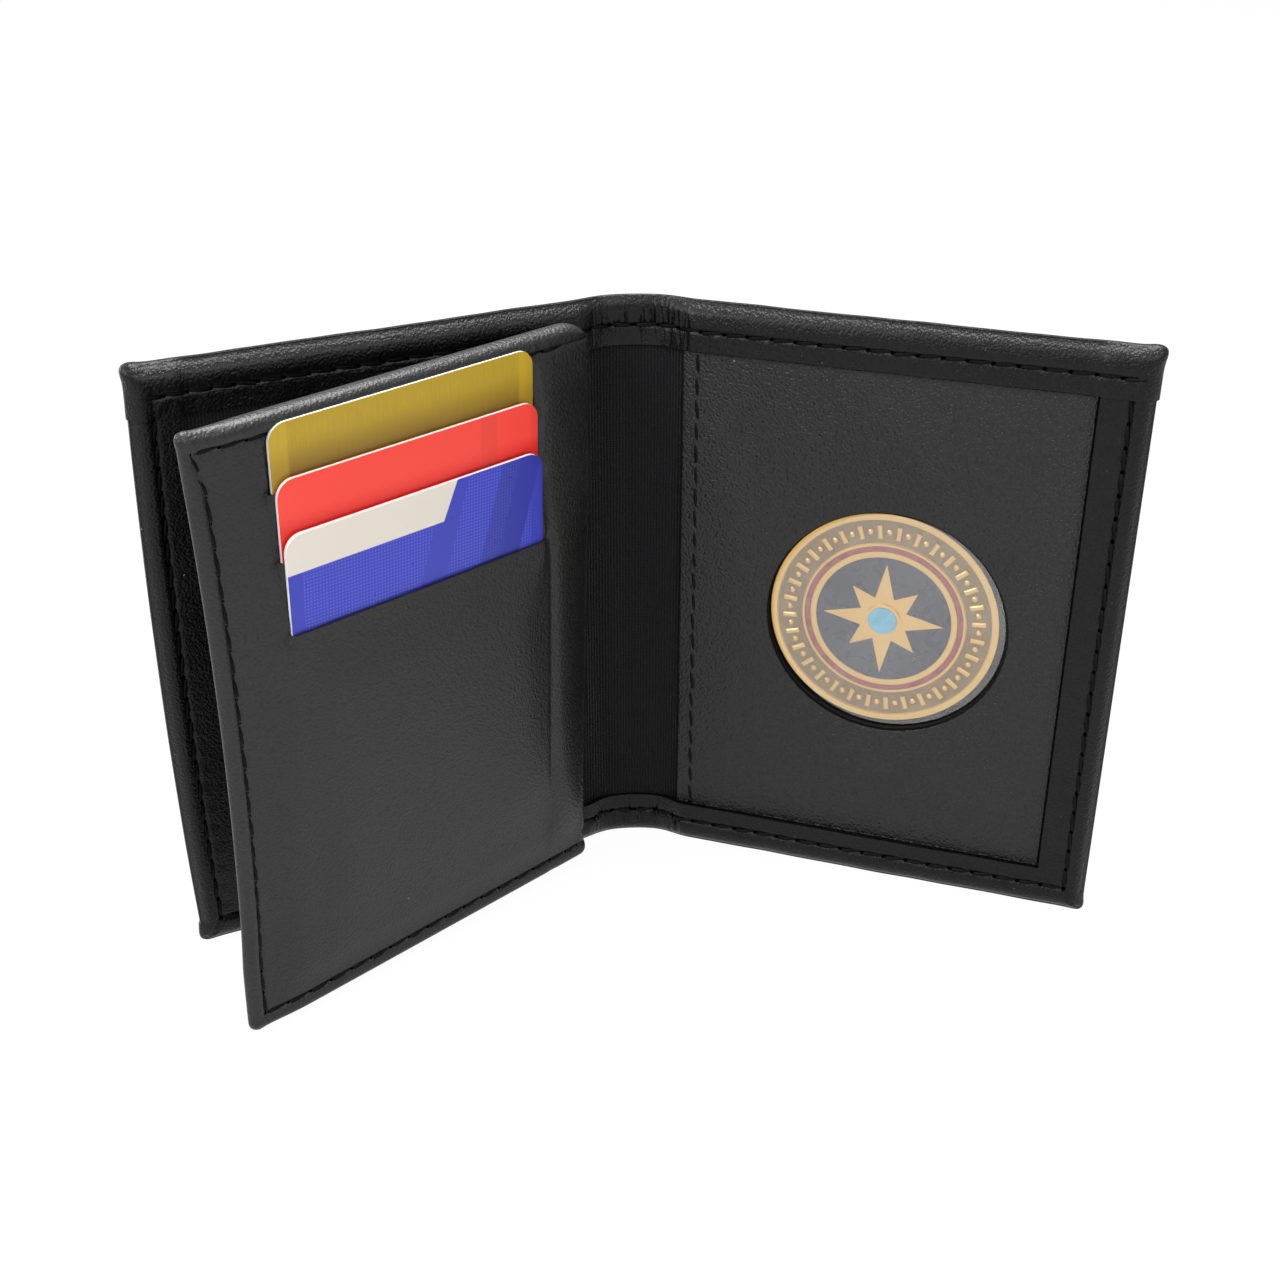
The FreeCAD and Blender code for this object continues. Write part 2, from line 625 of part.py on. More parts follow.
def leaf_pieces():
    """The leaf: front leather with three slit pockets, linings, side boards, back and seam."""
    front = body("leaf_front_leather", LEAF)
    base = slab(
        front, "block", ("0", size("leaf_reach")),
        (LEAF_BACK_FACE, size("leaf_half")), ("0", LEAF_TOP),
    )
    edge_rounding(
        front, base, size("leaf_rounding"), size("corner_rounding"), 0.0, sheet.leaf_reach,
    )
    pad(front, circle(front, "bead", "XY_Plane", "0", "0", size("leaf_half")), LEAF_TOP)
    slab(
        front, "filling", (LEAF_START, "sizes.leaf_reach - sizes.edge_wall"),
        (LEAF_CORE_BACK, LEAF_CORE_FRONT), (size("edge_wall"), LEAF_WALL_TOP), cut,
    )
    slab(
        front, "window", (size("leaf_hem_width"), "sizes.leaf_reach - sizes.leaf_hem_width"),
        (f"{LEAF_BACK_FACE} - {PAST}/10", LEAF_CORE_BACK),
        (size("leaf_hem_width"), LEAF_HEM_TOP), cut,
    )
    block_inner = "(sizes.pocket_inner - sizes.pocket_wall)"
    block_outer = f"({POCKET_OUTER} + sizes.pocket_wall)"
    rail(front, "steps", pocket_block(), (block_inner, block_outer))
    for order, colour in enumerate(CARDS):
        rail(
            front, f"{colour}_space", pocket_space(order, colour),
            (size("pocket_inner"), POCKET_OUTER), cut,
        )
    for order, (colour, place) in enumerate(zip(CARDS, ("upper", "middle", "lower"))):
        cloth = body(f"{place}_pocket_lining", POCKET)
        behind = f"({card_back(order)} - sizes.card_play - sizes.strip)"
        plate(
            cloth, "sheet",
            rectangle(
                size("pocket_inner"), POCKET_OUTER, f"sizes.{colour}_foot",
                f"sizes.{colour}_slit - sizes.strip_overlap",
            ),
            (behind, f"{behind} + sizes.pocket_lining"),
        )
    boards = body("leaf_inner_board", LEAF)
    slab(
        boards, "strip", (LEAF_START, block_inner),
        (LEAF_CORE_BACK, LEAF_CORE_FRONT), (size("edge_wall"), LEAF_WALL_TOP),
    )
    outer_board = body("leaf_outer_board", LEAF)
    slab(
        outer_board, "strip", (block_outer, "sizes.leaf_reach - sizes.edge_wall"),
        (LEAF_CORE_BACK, LEAF_CORE_FRONT), (size("edge_wall"), LEAF_WALL_TOP),
    )
    back = body("leaf_back_panel", LEAF)
    sheet_back = slab(
        back, "sheet", (LEAF_START, "sizes.leaf_reach - sizes.leaf_rounding"),
        (LEAF_BACK, LEAF_BACK_FACE),
        (size("leaf_rounding"), "sizes.leaf_height - sizes.leaf_rounding"),
    )
    reach = sheet_back.Shape.BoundBox.XMax
    rounded(
        back, sheet_back, size("corner_rounding"),
        lambda middle, along: middle.x > reach - 0.01 and abs(along.y) > 0.9,
    )
    seam = body("leaf_seam", LEAF)
    plate(
        seam, "thread", leaf_seam_frame(),
        (size("leaf_half"), "sizes.leaf_half + sizes.thread_height"),
    )


def card_pieces():
    """Three bank cards, upright in the pockets."""
    left = "(sizes.pocket_inner + sizes.card_side_play)"
    for order, colour in enumerate(CARDS):
        made = body(f"{colour}_card", POCKET)
        foot = f"sizes.{colour}_foot"
        base = plate(
            made, "sheet",
            rectangle(left, f"{left} + sizes.card_width", foot, f"{foot} + sizes.card_length"),
            (card_back(order), f"{card_back(order)} + sizes.card_thick"),
        )
        rounded(
            made, base, size("card_corner"), lambda middle, along: abs(along.y) > 0.9,
        )


spine_pieces()
left_cover_pieces()
right_cover_pieces()
medallion_pieces()
leaf_pieces()
card_pieces()
doc.recompute()

for made in doc.Objects:
    if {"Invalid", "Error"} & set(made.State):
        raise RuntimeError(f"{made.Name} did not build: {made.State}")

os.makedirs("parts", exist_ok=True)
for made in nodes:
    if made.Shape.isNull() or not made.Shape.isValid():
        raise RuntimeError(f"{made.Label} has no valid shape")
    made.Shape.exportStep(f"parts/{made.Label}.step")
    print(f"{made.Label}: {len(made.Shape.Solids)} solid, {made.Shape.Volume:.0f} cubic mm")
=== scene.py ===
"""Badge wallet in black leather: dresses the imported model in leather, cloth, thread, cards and brass."""
import math
import random

import bmesh
import bpy
import numpy as np
from bpy.props import FloatProperty, FloatVectorProperty, PointerProperty
from mathutils import Matrix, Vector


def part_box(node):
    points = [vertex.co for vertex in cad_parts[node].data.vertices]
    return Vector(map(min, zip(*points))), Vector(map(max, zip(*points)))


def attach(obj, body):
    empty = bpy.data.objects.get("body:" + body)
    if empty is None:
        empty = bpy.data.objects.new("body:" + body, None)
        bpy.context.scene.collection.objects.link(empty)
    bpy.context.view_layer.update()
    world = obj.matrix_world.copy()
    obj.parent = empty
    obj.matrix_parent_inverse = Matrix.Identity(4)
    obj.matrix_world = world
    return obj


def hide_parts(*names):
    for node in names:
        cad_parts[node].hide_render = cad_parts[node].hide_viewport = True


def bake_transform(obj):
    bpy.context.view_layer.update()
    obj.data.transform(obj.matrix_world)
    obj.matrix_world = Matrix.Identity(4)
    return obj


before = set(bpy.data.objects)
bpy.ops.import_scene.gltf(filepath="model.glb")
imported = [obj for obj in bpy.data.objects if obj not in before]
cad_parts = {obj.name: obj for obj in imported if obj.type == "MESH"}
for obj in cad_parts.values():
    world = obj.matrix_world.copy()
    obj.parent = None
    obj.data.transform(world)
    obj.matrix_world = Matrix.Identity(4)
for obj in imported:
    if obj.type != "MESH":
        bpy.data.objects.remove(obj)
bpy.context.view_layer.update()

bl_info = {
    "name": "Badge wallet",
    "version": (1, 0, 0),
    "blender": (4, 5, 0),
    "location": "3D View > Sidebar > Wallet",
    "description": "Builds a stitched leather badge wallet on its packed model",
    "category": "Object",
}

MM = 0.001
COVER_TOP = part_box("right_cover_leather")[1][2]


# Sizes and colours


def length(name, description, millimetres):
    """A length that a user can change, kept in metres."""
    return FloatProperty(
        name=name, description=description, default=millimetres * MM, unit="LENGTH", precision=5
    )


def angle(name, description, degrees):
    """An angle that a user can change."""
    return FloatProperty(name=name, description=description, default=math.radians(degrees), subtype="ANGLE")


def colour(name, description, red, green, blue):
    """A colour that a user can change."""
    return FloatVectorProperty(
        name=name, description=description, default=(red, green, blue), subtype="COLOR", min=0, max=1
    )


class WalletSizes(bpy.types.PropertyGroup):
    """Sizes of the wallet's pieces."""

    cover_height: length("Cover height", "Height of both covers", COVER_TOP / MM)
    cover_width: length("Cover width", "From a fold to the free edge of its cover", 84)
    left_angle: angle("Left opening", "How far the left cover stands forward of the spine", 23.0)
    right_angle: angle("Right opening", "How far the right cover stands forward of the spine", 20.5)
    spine_chord: length("Spine width", "Straight distance between the two folds", 20)
    spine_bulge: length("Spine bow", "How far the spine bows out", 2.3)
    outer_face: length("Outer face", "From the fold's axis to the outer leather", 1.35)
    hem_face: length("Hem face", "From the fold's axis to the front of the hems", 2.95)
    hem: length("Hem", "Width of the turned-in leather at the top and bottom", 9.2)
    side_hem: length("Side hem", "Width of the turned-in leather at the free edge", 9.3)
    skin: length("Leather", "Thickness of the cover leather", 1.1)
    seam_inset: length("Seam inset", "From a free edge to its seam", 4.0)
    hem_seam: length("Hem seam", "From the top or bottom of a cover to its seam", 5.4)
    stitch_pitch: length("Stitch pitch", "From one stitch to the next", 4.5)
    stitch_length: length("Stitch length", "Length of one stitch", 4.0)
    thread: length("Thread", "Thickness of the sewing thread", 0.74)
    leaf_angle: angle("Leaf opening", "How far the leaf stands off the left cover", 17.7)
    leaf_out: length("Leaf axis out", "From the left fold out to the axis of the leaf", 3.88)
    leaf_in: length("Leaf axis in", "From the left fold in to the axis of the leaf", 6.345)
    leaf_foot: length("Leaf foot", "From the floor to the foot of the leaf", 1.1)
    leaf_height: length("Leaf height", "Height of the leaf", 114.9)
    leaf_reach: length("Leaf width", "From the leaf's axis to its free edge", 80.0)
    leaf_seam: length("Leaf seam", "From the top or foot of the leaf to its seam", 3.4)
    leaf_side_seam: length("Leaf side seam", "From the free edge of the leaf to its seam", 3.0)
    medallion: length("Medallion", "Diameter of the medallion", 44)
    cut_out: length("Cut-out", "Diameter of the round hole over the medallion", 46.4)
    badge_out: length("Badge place", "From the fold to the middle of the cut-out", 40.5)
    badge_up: length("Badge height", "From the floor to the middle of the cut-out", 57.5)
    card_width: length("Card width", "Short side of a bank card", 53.98)
    card_height: length("Card height", "Long side of a bank card", 85.6)
    card_gauge: length("Card thickness", "Thickness of a bank card", 0.76)


class WalletColours(bpy.types.PropertyGroup):
    """Colours of the wallet's finishes."""

    leather: colour("Leather", "Black cover leather", 0.0062, 0.0063, 0.0064)
    lining: colour("Lining", "Black lining cloth", 0.0028, 0.0022, 0.0030)
    thread: colour("Thread", "Sewing thread", 0.0008, 0.0008, 0.0009)
    brass: colour("Brass", "Antique brass of the medallion", 0.68, 0.45, 0.16)
    patina: colour("Patina", "Dark brown in the hollows of the brass", 0.23, 0.16, 0.075)
    navy: colour("Navy enamel", "Field of the medallion", 0.008, 0.011, 0.026)
    crimson: colour("Red enamel", "Ring of the medallion", 0.21, 0.028, 0.026)
    sky: colour("Sky enamel", "Boss of the medallion", 0.10, 0.34, 0.46)
    gold_card: colour("Gold card", "Face of the rear card", 0.42, 0.28, 0.015)
    red_card: colour("Red card", "Face of the middle card", 0.86, 0.055, 0.036)
    blue_card: colour("Blue card", "Face of the front card", 0.045, 0.057, 0.56)
    label: colour("Card label", "Pale wedge on the front card", 0.68, 0.63, 0.55)
    card_core: colour("Card core", "White plastic at a card's edge", 0.82, 0.82, 0.82)


def mm(name):
    """A size from the panel, in millimetres."""
    return getattr(bpy.context.scene.wallet_sizes, name) / MM


def radians_of(name):
    """An angle from the panel, in radians."""
    return getattr(bpy.context.scene.wallet_sizes, name)


def paint(name, by=1.0):
    """A colour from the panel, darker or lighter by a factor."""
    return tuple(min(1.0, c * by) for c in getattr(bpy.context.scene.wallet_colours, name)) + (1.0,)


# Shader maths


class Wire:
    """One value of a shader; sums and products of wires add Math nodes."""

    def __init__(self, finish, socket):
        self.finish, self.socket = finish, socket

    def calc(self, operation, first, second):
        """A Math node on two values or wires."""
        return self.finish.add("ShaderNodeMath", {"operation": operation}, {0: first, 1: second})

    def __add__(self, other):
        return self.calc("ADD", self, other)

    def __radd__(self, other):
        return self.calc("ADD", other, self)

    def __sub__(self, other):
        return self.calc("SUBTRACT", self, other)

    def __rsub__(self, other):
        return self.calc("SUBTRACT", other, self)

    def __mul__(self, other):
        return self.calc("MULTIPLY", self, other)

    def __gt__(self, other):
        return self.calc("GREATER_THAN", self, other)

    def __lt__(self, other):
        return self.calc("LESS_THAN", self, other)


class Finish:
    """One material: a Principled shader and the nodes that feed it."""

    def __init__(self, name, **constants):
        self.material = bpy.data.materials.new(name)
        self.material.use_nodes = True
        self.tree = self.material.node_tree
        self.shader = next(n for n in self.tree.nodes if n.type == "BSDF_PRINCIPLED")
        self.output = next(n for n in self.tree.nodes if n.type == "OUTPUT_MATERIAL")
        for socket, value in constants.items():
            self.shader.inputs[socket.replace("_", " ")].default_value = value

    def add(self, kind, settings=None, sockets=None, out=0):
        """A node of any kind: its settings first, then the values or wires of its sockets."""
        node = self.tree.nodes.new(kind)
        for name, value in (settings or {}).items():
            setattr(node, name, value)
        for name, value in (sockets or {}).items():
            self.join(node.inputs[name], value)
        return Wire(self, node.outputs[out])

    def join(self, socket, value):
        """Sets a socket to a value, or links a wire to it."""
        if isinstance(value, Wire):
            self.tree.links.new(value.socket, socket)
        else:
            socket.default_value = value

    def feed(self, socket, value):
        """Gives the Principled shader a value or a wire."""
        self.join(self.shader.inputs[socket], value)

    def place(self, attribute=None):
        """Where a point of the surface is: on the object, or by one of its attributes."""
        if attribute:
            return self.add("ShaderNodeAttribute", {"attribute_name": attribute}, out="Vector")
        return self.add("ShaderNodeTexCoord", out="Object")

    def scaled(self, vector, x, y, z):
        """A place stretched along its axes."""
        return self.add("ShaderNodeVectorMath", {"operation": "MULTIPLY"}, {0: vector, 1: (x, y, z)})

    def parts(self, vector):
        """The three numbers of a place."""
        node = self.add("ShaderNodeSeparateXYZ", sockets={0: vector}).socket.node
        return [Wire(self, s) for s in node.outputs]

    def noise(self, vector, millimetres, detail=2.0, rough=0.5):
        """Soft random patches of about that size."""
        return self.add(
            "ShaderNodeTexNoise", None,
            {"Vector": vector, "Scale": 1 / (millimetres * MM), "Detail": detail, "Roughness": rough}, "Fac",
        )

    def sine(self, value):
        """A wave."""
        return self.add("ShaderNodeMath", {"operation": "SINE"}, {0: value})

    def cells(self, vector, millimetres, feature="F1", out="Distance"):
        """Many scattered points: the distance to the nearest one, or that one's random colour."""
        sockets = {"Vector": vector, "Scale": 1 / (millimetres * MM)}
        return self.add("ShaderNodeTexVoronoi", {"feature": feature}, sockets, out)

    def lint_and_glint_specks(self, vector, apart=7.0, size=1.0):
        """A few tiny specks, about that many millimetres apart; the leather uses them for lint and for
        painted glints.
        """
        spots = self.cells(vector, apart)
        red, green, _ = self.parts(self.cells(vector, apart, out="Color"))
        return (spots < (green * green * 0.022 + 0.006) * size) * (red > 0.45)

    def step(self, value, low, high):
        """0 below low, 1 above high, and a soft step between them."""
        return self.add(
            "ShaderNodeMapRange", {"interpolation_type": "SMOOTHSTEP"},
            {"Value": value, "From Min": low, "From Max": high},
        )

    def band(self, value, low, high, soft):
        """1 from low to high, 0 outside, with soft edges."""
        return self.step(value, low, low + soft) * (1 - self.step(value, high, high + soft))

    def mix(self, factor, first, second):
        """Two colours mixed."""
        return self.add("ShaderNodeMix", {"data_type": "RGBA"}, {0: factor, 6: first, 7: second}, 2)

    def relief(self, height, depth):
        """Height of that many millimetres, felt by the light."""
        bump = self.add("ShaderNodeBump", None, {"Height": height, "Distance": depth * MM, "Strength": 1.0})
        self.feed("Normal", bump)


def leather_finish(name, grain, depth, rough, dark, shine, painted_glints=0.0, coat=0.0):
    """Black leather: pebbled grain of a size and depth in millimetres with painted shade in its hollows,
    uneven polish, lint and painted glints.
    """
    f = Finish(name, Specular_IOR_Level=shine, Coat_Weight=coat, Coat_Roughness=0.25)
    at = f.place()
    swirl = f.add("ShaderNodeTexNoise", None, {"Vector": at, "Scale": 1 / (grain * 2.5 * MM)}, "Color")
    far = grain * 0.5 * MM
    shift = f.scaled(swirl, far, far, far)
    warped = f.add("ShaderNodeVectorMath", {"operation": "ADD"}, {0: at, 1: shift})
    pebbles = f.cells(warped, grain, "SMOOTH_F1")
    fine = f.noise(at, grain * 0.45, 2)
    soft = f.noise(at, 9, 2)
    broad = f.noise(at, 24, 2)
    patches = f.step(soft * 0.6 + broad * 0.4, 0.3, 0.7)
    tone = f.mix(patches, paint("leather", 0.8 * dark), paint("leather", 1.25 * dark))
    # Painted shade: the hollows between the pebbles are coloured darker.
    tone = f.mix(f.step(pebbles, 0.35, 0.75), tone, paint("leather", 0.35 * dark))
    # Specks of lint, and denser specks as painted glints, lighten the colour.
    specks = f.lint_and_glint_specks(at) + f.lint_and_glint_specks(at, 2.0, 3.0) * painted_glints
    f.feed("Base Color", f.mix(specks * 0.5, tone, (0.35, 0.34, 0.32, 1)))
    f.feed("Roughness", rough + (soft - 0.5) * 0.12 + (fine - 0.5) * 0.16 + pebbles * 0.08)
    f.relief((1 - pebbles) * 0.9 + fine * 0.3 + soft * 0.04, depth)
    return f.material


def fibre_finish(name, shine, stretch, noise, shades, rough, depth):
    """Fibrous stuff: noise stretched along the fibres gives its tone, its roughness and its relief."""
    f = Finish(name, Specular_IOR_Level=shine)
    fibres = f.noise(f.scaled(f.place(), *stretch), *noise)
    f.feed("Base Color", f.mix(fibres, *shades))
    f.feed("Roughness", rough[0] + fibres * rough[1])
    f.relief(fibres, depth)
    return f.material


def edge_finish():
    """Cut edge of leather, fibrous and dyed black."""
    shades = paint("leather", 0.15), paint("leather", 1.4)
    return fibre_finish("cut_leather_edge", 0.1, (1, 1, 0.35), (0.3, 4, 0.7), shades, (0.62, 0.25), 0.12)


def cloth_finish(name, pitch, dark=1.0):
    """Black ribbed lining cloth: fine upright ribs crossed by finer threads, with slubs and a little lint."""
    f = Finish(name, Specular_IOR_Level=0.15, Sheen_Weight=0.10, Sheen_Roughness=0.5)
    at = f.place("flat")
    x, _, z = f.parts(at)
    drift = f.noise(at, 900, 2) * 3
    ribs = f.sine(x * (2 * math.pi / pitch) + drift)
    cross = f.sine(z * (2 * math.pi / (pitch * 0.8)) + drift)
    slub = f.noise(f.scaled(at, 3, 1, 0.35), 1100, 3)
    lint = f.step(f.noise(at, 350, 2), 0.72, 0.78)
    weave = ribs * 0.6 + cross * 0.2 + slub * 0.9
    bright = lint * 0.4 + f.step(weave, 0.0, 1.1) * 0.4
    f.feed("Base Color", f.mix(bright, paint("lining", 0.45 * dark), paint("lining", 5.0 * dark)))
    f.feed("Roughness", 0.78 + slub * 0.15)
    f.relief(weave, 0.14)
    return f.material


def thread_finish():
    """Waxed black thread with a fine twist."""
    shades = paint("thread", 0.6), paint("thread", 2.2)
    return fibre_finish("waxed_thread", 0.12, (1, 1, 0.5), (0.22, 2), shades, (0.42, 0.3), 0.08)


def hole_shade_finish():
    """Painted shade of the needle holes: matt and black."""
    f = Finish("needle_hole", Specular_IOR_Level=0.0, Roughness=1.0)
    hole_shade_noise = f.noise(f.place(), 0.3)
    f.feed("Base Color", f.mix(hole_shade_noise, (0.0006, 0.0006, 0.0006, 1), (0.0015, 0.0015, 0.0015, 1)))
    return f.material


# Modelling by hand


def clear():
    """Leaves edit mode and lets go of everything."""
    if bpy.context.mode != "OBJECT":
        bpy.ops.object.mode_set(mode="OBJECT")
    bpy.ops.object.select_all(action="DESELECT")


def hold(obj):
    """Selects one object alone."""
    clear()
    obj.select_set(True)
    bpy.context.view_layer.objects.active = obj
    return obj


def named(name):
    """Names the new primitive and puts its place into its mesh."""
    obj = bpy.context.object
    obj.name = obj.data.name = name
    bpy.ops.object.transform_apply(location=True, rotation=True, scale=True)
    return obj


def block(name, low, high):
    """A box between two corners in millimetres."""
    clear()
    middle = [(a + b) / 2 * MM for a, b in zip(low, high)]
    bpy.ops.mesh.primitive_cube_add(size=1, location=middle, scale=[(b - a) * MM for a, b in zip(low, high)])
    return named(name)


def ball(name, segments, rings, radius, rotation=(0, 0, 0)):
    """A ball of a radius in millimetres."""
    clear()
    bpy.ops.mesh.primitive_uv_sphere_add(
        segments=segments, ring_count=rings, radius=radius * MM, rotation=rotation
    )
    return named(name)


def edit(obj):
    """Opens an object in edit mode."""
    hold(obj)
    bpy.ops.object.mode_set(mode="EDIT")


def edit_all(obj):
    """Opens an object in edit mode with all of it selected."""
    edit(obj)
    bpy.ops.mesh.select_all(action="SELECT")


def shift_up(height):
    """Moves what is selected up, in millimetres."""
    bpy.ops.transform.translate(value=(0, 0, height * MM))


def choose(obj, kind, test):
    """In edit mode, selects the edges or faces whose points, in millimetres, pass a test."""
    bpy.ops.mesh.select_mode(type=kind)
    bpy.ops.mesh.select_all(action="DESELECT")
    mesh = bmesh.from_edit_mesh(obj.data)
    chosen = 0
    for item in mesh.edges if kind == "EDGE" else mesh.faces:
        if test(np.array([v.co for v in item.verts]) / MM):
            item.select_set(True)
            chosen += 1
    mesh.select_flush_mode()
    bmesh.update_edit_mesh(obj.data)
    if not chosen:
        raise RuntimeError(f"nothing to work on in {obj.name}")


def at(points, axis, value):
    """True where all points lie at a value along an axis."""
    return bool(np.all(np.abs(points[:, axis] - value) < 0.01))


def round_edges(obj, width, segments, test):
    """In edit mode, rounds the edges whose points, in millimetres, pass a test."""
    choose(obj, "EDGE", test)
    bpy.ops.mesh.bevel(
        offset_type="OFFSET", offset=width * MM, segments=segments, profile=0.5, affect="EDGES",
        clamp_overlap=False,
    )


def slices(axis, places):
    """Cuts the whole mesh across an axis at each place."""
    normal, point = [0, 0, 0], [0, 0, 0]
    normal[axis] = 1
    for place in places:
        point[axis] = place * MM
        bpy.ops.mesh.select_all(action="SELECT")
        bpy.ops.mesh.bisect(plane_co=point, plane_no=normal)


def points_of(obj):
    """All corners of a mesh, in millimetres."""
    co = np.empty(len(obj.data.vertices) * 3)
    obj.data.vertices.foreach_get("co", co)
    return co.reshape(-1, 3) / MM


def put_points(obj, co):
    """Moves all corners of a mesh to places in millimetres."""
    obj.data.vertices.foreach_set("co", (np.asarray(co) * MM).ravel())
    obj.data.update()


def keep_flat(obj, flat):
    """Remembers where each corner lay on the flat piece, for weaves and prints."""
    attribute = obj.data.attributes.new("flat", "FLOAT_VECTOR", "POINT")
    attribute.data.foreach_set("vector", np.asarray(flat, np.float32).ravel())


def copy_of(master, shape):
    """A copy of a modelled piece with a mesh of its own, its corners at places in millimetres."""
    obj = master.copy()
    obj.data = master.data.copy()
    bpy.context.collection.objects.link(obj)
    put_points(obj, shape)
    return obj


def modify(obj, kind, **settings):
    """Adds a modifier and applies it."""
    hold(obj)
    modifier = obj.modifiers.new(kind.lower(), kind)
    for name, value in settings.items():
        setattr(modifier, name, value)
    bpy.ops.object.modifier_apply(modifier=modifier.name)


def thicken(obj, gauge, **settings):
    """Gives a formed skin its thickness inwards; its cut edges take the next finish."""
    modify(
        obj, "SOLIDIFY", thickness=gauge * MM, offset=-1,
        use_even_offset=True, use_rim=True, material_offset_rim=1, **settings,
    )
    smooth(obj, 42)


def outward(obj):
    """Merges doubles and turns all faces outwards."""
    edit_all(obj)
    bpy.ops.mesh.remove_doubles(threshold=1e-6)
    bpy.ops.mesh.normals_make_consistent(inside=False)
    clear()


def smooth(obj, limit=38):
    """Shades smooth, with edges sharper than the limit kept crisp."""
    hold(obj)
    bpy.ops.object.shade_smooth_by_angle(angle=math.radians(limit))


def settle(obj, place, flat, limit=38):
    """Takes a flat piece through a frame to its place and shades it smooth."""
    put_points(obj, through(place, flat))
    smooth(obj, limit)


def dress(obj, *materials):
    """Gives an object its materials."""
    obj.data.materials.clear()
    for material in materials:
        obj.data.materials.append(material)


def joined(name, pieces):
    """Several meshes as one object."""
    clear()
    for piece in pieces:
        piece.select_set(True)
    bpy.context.view_layer.objects.active = pieces[0]
    bpy.ops.object.join()
    pieces[0].name = pieces[0].data.name = name
    return pieces[0]


def ramp(value, low, high):
    """Soft step from 0 at low to 1 at high."""
    t = np.clip((value - low) / (high - low), 0, 1)
    return t * t * (3 - 2 * t)


def hump(value, middle, width):
    """Bell curve."""
    return np.exp(-(((value - middle) / width) ** 2))


# Where things are


def move(x, y, z):
    """Frame moved by millimetres."""
    return np.array(Matrix.Translation((x, y, z)))


def turn(radians, axis):
    """Frame turned about an axis."""
    return np.array(Matrix.Rotation(radians, 4, axis))


def through(matrix, points):
    """Points taken through a frame."""
    return points @ matrix[:3, :3].T + matrix[:3, 3]


def right_frame():
    """Frame of the right cover, at its fold."""
    return move(mm("spine_chord") / 2, -mm("spine_bulge"), 0) @ turn(-radians_of("right_angle"), "Z")


def left_frame():
    """Frame of the left cover, at its fold."""
    return move(-mm("spine_chord") / 2, -mm("spine_bulge"), 0) @ turn(math.pi + radians_of("left_angle"), "Z")


def leaf_frame():
    """Frame of the leaf, at its axis."""
    axis = move(mm("leaf_out"), mm("leaf_in"), mm("leaf_foot"))
    return left_frame() @ axis @ turn(radians_of("leaf_angle"), "Z")


# Millimetres along, out and up in the frames: pockets and slits of the leaf
POCKET_BACK, POCKET_FOOT, POCKET_TILT = -1.05, 8.9, math.radians(1.8)
POCKET_RIGHT, POCKET_LEFT = 11.3, 66.8
SLITS = (92.6, 80.8, 67.9)
LIPS = (-0.06, 1.22, 2.5, 4.08)
CARD_SIDE = 12.06
# The leaf's inner edge, its front, its turned-in leather and the face of its back
LEAF_INNER, LEAF_FRONT, LEAF_TURNED, LEAF_REAR = -2.2, 2.2, -1.4, -2.2
# Where the stitches of its free edge lean out, and how far
VEER_UP, VEER = 11, 1.2
# Front, back, free edge and inset of the panel and the lining inside the covers
INNER_FRONT, INNER_BACK, INNER_EDGE, INNER_INSET = 1.85, 0.75, 81.3, 2.7
# The spine's lining: tucked past the fold, and its foot
LINING_TUCK, LINING_UP = 3.0, 6.2
# The end of the fold's bend on the cover, and the step of its curve
FOLD_END, FOLD_STEP = 3.2, 0.05


def pocket_frame():
    """Frame of the pockets, at the foot of the cards."""
    return leaf_frame() @ move(0, POCKET_BACK, POCKET_FOOT) @ turn(-POCKET_TILT, "X")


def badge_frame():
    """Frame of the medallion, facing out of the cut-out."""
    return right_frame() @ move(mm("badge_out"), 0.25, mm("badge_up")) @ turn(math.pi / 2, "X")


class Fold:
    """Takes the flat cover with its half of the spine to its place: along, outwards, up."""

    def __init__(self, side):
        self.side = side
        half, bow = mm("spine_chord") / 2, mm("spine_bulge")
        opening = radians_of("right_angle" if side > 0 else "left_angle")
        radius = (half * half + bow * bow) / (2 * bow)
        self.reach = radius * math.asin(half / radius)
        self.along = np.arange(-self.reach, mm("cover_width") + 6, FOLD_STEP)
        spine = (self.along + self.reach) / radius
        self.heading = spine + (opening - spine) * ramp(self.along, -2.4, FOLD_END)
        mean = (self.heading[1:] + self.heading[:-1]) / 2
        x = np.concatenate(([0], np.cumsum(np.cos(mean)) * FOLD_STEP))
        y = np.concatenate(([0], -np.cumsum(np.sin(mean)) * FOLD_STEP))
        k = np.searchsorted(self.along, FOLD_END)
        x += half + self.along[k] * math.cos(opening) - x[k]
        y += -bow - self.along[k] * math.sin(opening) - y[k]
        rest = np.clip((FOLD_END - self.along) / (FOLD_END + self.reach), 0, 1) ** 2
        self.x, self.y = x - x[0] * rest, y - y[0] * rest

    def place(self, flat):
        """Flat points at their place on the folded wallet."""
        along, out, up = np.asarray(flat, float).T
        x, y, h = (np.interp(along, self.along, t) for t in (self.x, self.y, self.heading))
        return np.stack((self.side * (x + out * np.sin(h)), y + out * np.cos(h), up), 1)

    def bend(self, obj):
        """Bakes a piece's place into its mesh."""
        start, end = self.place([(-3.4, 0, 0), (3.4, 0, 0)]) * MM
        "right_cover" if self.side > 0 else "left_cover"
        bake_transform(obj)


# Outer leather


